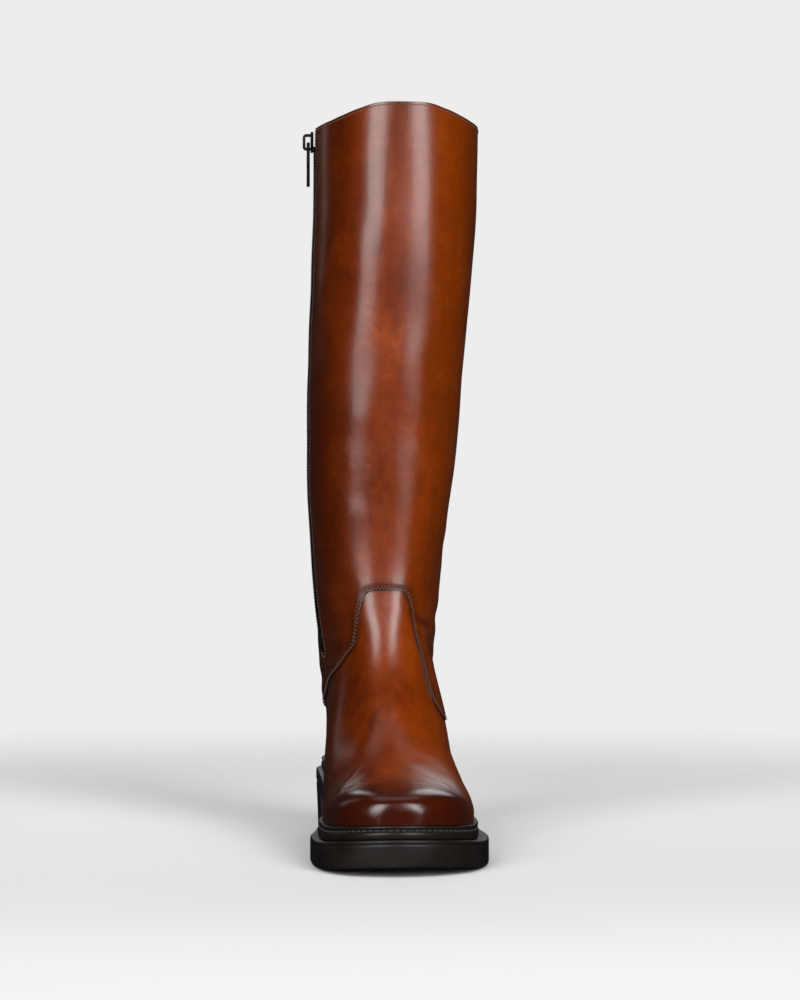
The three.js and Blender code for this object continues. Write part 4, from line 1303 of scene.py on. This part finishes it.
def build_heel():
    """The low heel block, slightly tapered, under the heel seat."""
    shares = heel_shares(40) * heel_length / sole_length
    r, t = sole_rounding, heel_taper

    def top(y):
        return sole_heights(y)[0] - heel_seat
    steps = [
        # in from the outline, height
        (t + r, lambda y: 0 * y), (t + 0.29 * r, lambda y: 0.29 * r + 0 * y), (t, lambda y: r + 0 * y),
        (0.55 * t + 0.1, lambda y: 0.5 * top(y)), (0.15, lambda y: top(y) - 1.2),
        (0.6, lambda y: top(y) - 0.2), (1.4, top),
    ]
    rings = [sole_ring(drawn_by(inset), height, shares) for inset, height in steps]
    heel = ringed("heel_block", rings)
    modifier(heel, "BEVEL", "edges", width=0.6 * MM, segments=2, limit_method="ANGLE",
             angle_limit=math.radians(50))
    place(paint(baked(heel), outsole_rubber), "boot", "outsole_rubber", "heel")


# Pieces of the zip

def slot_face(y, z):
    """The leather's face beside the slot, held at the height just under the collar's rim."""
    return leather_x(y, min(z, collar_side - 3))


def zip_line(bottom, top, across, depth, step=2.0):
    """Points on the zip's line, across it by a distance, at a depth under the leather's face."""
    zs = np.arange(bottom, top, step)
    return np.array([(slot_face(zip_y(z) + across, z) + depth, zip_y(z) + across, z) for z in zs])


def build_tape():
    """The cloth in the slot, as wide as the slot and a little more."""
    rows = np.array([[
        (slot_face(zip_y(z) + share * (slot_half(z) + 1.5), z) + tape_depth,
         zip_y(z) + share * (slot_half(z) + tape_lap), z)
        for share in (-1, -0.6, -0.2, 0.2, 0.6, 1)] for z in np.arange(zip_start, collar_side - 1, 3.0)])
    count = rows.shape[1]
    faces = []
    for i in range(len(rows) - 1):
        for k in range(count - 1):
            a = i * count + k
            faces.append((a, a + 1, a + count + 1, a + count))
    strip = mesh_object("zip_tape_cloth", rows.reshape(-1, 3), faces)
    modifier(strip, "SOLIDIFY", "cloth", thickness=tape_thickness * MM, offset=0)
    place(paint(baked(strip), tape), "boot", "tape_fabric", "zip_tape")


def build_teeth():
    """Two rows of closed teeth, half a pitch apart, up to the slider."""
    end = leg_height - slider_drop - 2
    teeth = []
    for side, shift in ((-0.75, 0), (0.75, 0.5 * tooth_pitch)):
        teeth.append(zip_line(zip_start + 2 + shift, end, side, -0.35))
    chain = row_on_path("zip_teeth", teeth, tooth_pitch, tooth_size, gunmetal, capsule(6))
    place(chain, "boot", "zip_metal", "zip_chain")


def eased_copy(node, name, body, width):
    """A copy of a hard node with eased edges, which stands for it."""
    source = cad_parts[node]
    obj = source.copy()
    obj.data = source.data.copy()
    obj.name = name
    obj.parent = None
    bpy.context.collection.objects.link(obj)
    bm = bmesh.new()
    bm.from_mesh(obj.data)
    bmesh.ops.remove_doubles(bm, verts=bm.verts, dist=1e-6)
    bmesh.ops.dissolve_limit(bm, angle_limit=math.radians(1), verts=bm.verts, edges=bm.edges)
    bm.to_mesh(obj.data)
    bm.free()
    modifier(obj, "BEVEL", "edges", width=width * MM, segments=3, limit_method="ANGLE",
             angle_limit=math.radians(40))
    baked(obj)
    set_smooth(obj.data, False)
    place(paint(obj, gunmetal), body, "zip_metal", node)


# Floor, light and camera

LIGHTS = [
    # name, mirrored in the leather, place, aim, width, height, watts
    ("left_softbox", True, (-1.02, -1.8, 1.32), (0, 0, 1.25), 1.0, 1.4, 39),
    ("left_skirt", True, (-1.02, -1.8, 0.40), (0, 0, 0.40), 1.03, 0.44, 9.5),
    ("right_softbox", True, (0.86, -1.9, 1.32), (0, 0, 1.25), 0.74, 1.4, 33),
    ("right_skirt", True, (0.86, -1.9, 0.40), (0, 0, 0.40), 0.78, 0.44, 8),
    ("front_fill", False, (0.1, -1.9, 1.1), (0, 0, 0.4), 1.6, 1.6, 38),
    ("back_softbox", True, (0.3, 2.4, 1.6), (0, 0, 0.2), 1.6, 1.6, 13),
    ("left_strip", True, (-1.35, 1.5, 1.3), (0, 0, 1.2), 0.3, 1.4, 0.8),
    ("top_softbox", True, (0, 0.3, 2.6), (0, 0, 0), 1.8, 1.8, 7.5),
]
surround_seen = 0.85
surround_lit = 0.02
floor_sides = 96
floor_radius = 1300.0
floor_drop = 0.2
camera_place = (-0.1409, -2.0458, 0.2166)
camera_turn = 4.4
camera_lens = 113.4


def area_light(name, location, target, width, height, power):
    light = bpy.data.lights.new(name, "AREA")
    light.shape = "RECTANGLE"
    light.size = width
    light.size_y = height
    light.energy = power
    obj = bpy.data.objects.new(name, light)
    obj.location = location
    obj.rotation_euler = (Vector(target) - Vector(location)).to_track_quat("-Z", "Y").to_euler()
    bpy.context.collection.objects.link(obj)
    return obj


def build_floor():
    """A pale floor that fades out into the surround."""
    s = Shader("pale_floor", Specular_IOR_Level=0.1)
    apart = s.node("ShaderNodeSeparateXYZ", None, {"Vector": s.place})
    behind = Value(s, apart.outputs["Y"]).between(-0.45, 0.35)
    shade = s.noise(3, 2, 0.5)
    colour = s.mix(behind, rgb(0.57, 0.565, 0.56), rgb(0.88, 0.87, 0.865))
    away = Value(s, s.node("ShaderNodeVectorMath", {"operation": "LENGTH"}, {0: s.place}).outputs["Value"])
    s.finish(Base_Color=colour, Roughness=0.8 + shade * 0.1, Alpha=1 - away.between(0.3, 1.05))
    turns = [2 * math.pi * k / floor_sides for k in range(floor_sides)]
    rim = [(floor_radius * math.cos(a), floor_radius * math.sin(a), -floor_drop) for a in turns]
    floor = mesh_object("floor", rim, [tuple(range(floor_sides))], False)
    floor.data.materials.append(s.material)
    floor.visible_glossy = False


def build_surround():
    """White where the camera sees it, and nearly dark as light on the boot."""
    world = bpy.data.worlds.new("studio")
    bpy.context.scene.world = world
    world.use_nodes = True
    nodes, links = world.node_tree.nodes, world.node_tree.links
    seen = nodes["Background"]
    seen.inputs["Color"].default_value = (1, 0.997, 0.99, 1)
    seen.inputs["Strength"].default_value = surround_seen
    dim = nodes.new("ShaderNodeBackground")
    dim.inputs["Strength"].default_value = surround_lit
    rays, choose = nodes.new("ShaderNodeLightPath"), nodes.new("ShaderNodeMixShader")
    links.new(rays.outputs["Is Camera Ray"], choose.inputs[0])
    links.new(dim.outputs[0], choose.inputs[1])
    links.new(seen.outputs[0], choose.inputs[2])
    links.new(choose.outputs[0], nodes["World Output"].inputs["Surface"])
    bpy.context.scene.view_settings.view_transform = "Standard"


def build_lights():
    for name, mirrored, *values in LIGHTS:
        light = area_light(name, *values)
        light.visible_glossy = mirrored


def build_camera():
    """A long lens low in front of the boot, a little to its inner side."""
    data = bpy.data.cameras.new("camera")
    data.sensor_width = 36
    data.lens = camera_lens
    camera = bpy.data.objects.new("camera", data)
    camera.location = camera_place
    camera.rotation_euler = (math.pi / 2, 0, -math.radians(camera_turn))
    bpy.context.collection.objects.link(camera)
    bpy.context.scene.camera = camera


build_camera()
build_floor()
build_surround()
build_lights()
build_upper()
build_welt()
build_outsole()
build_heel()
build_tape()
build_teeth()
eased_copy("zip_slider", "slider", "boot", 0.28)
eased_copy("zip_pull", "pull_tab", "pull", 0.3)
build_insole()
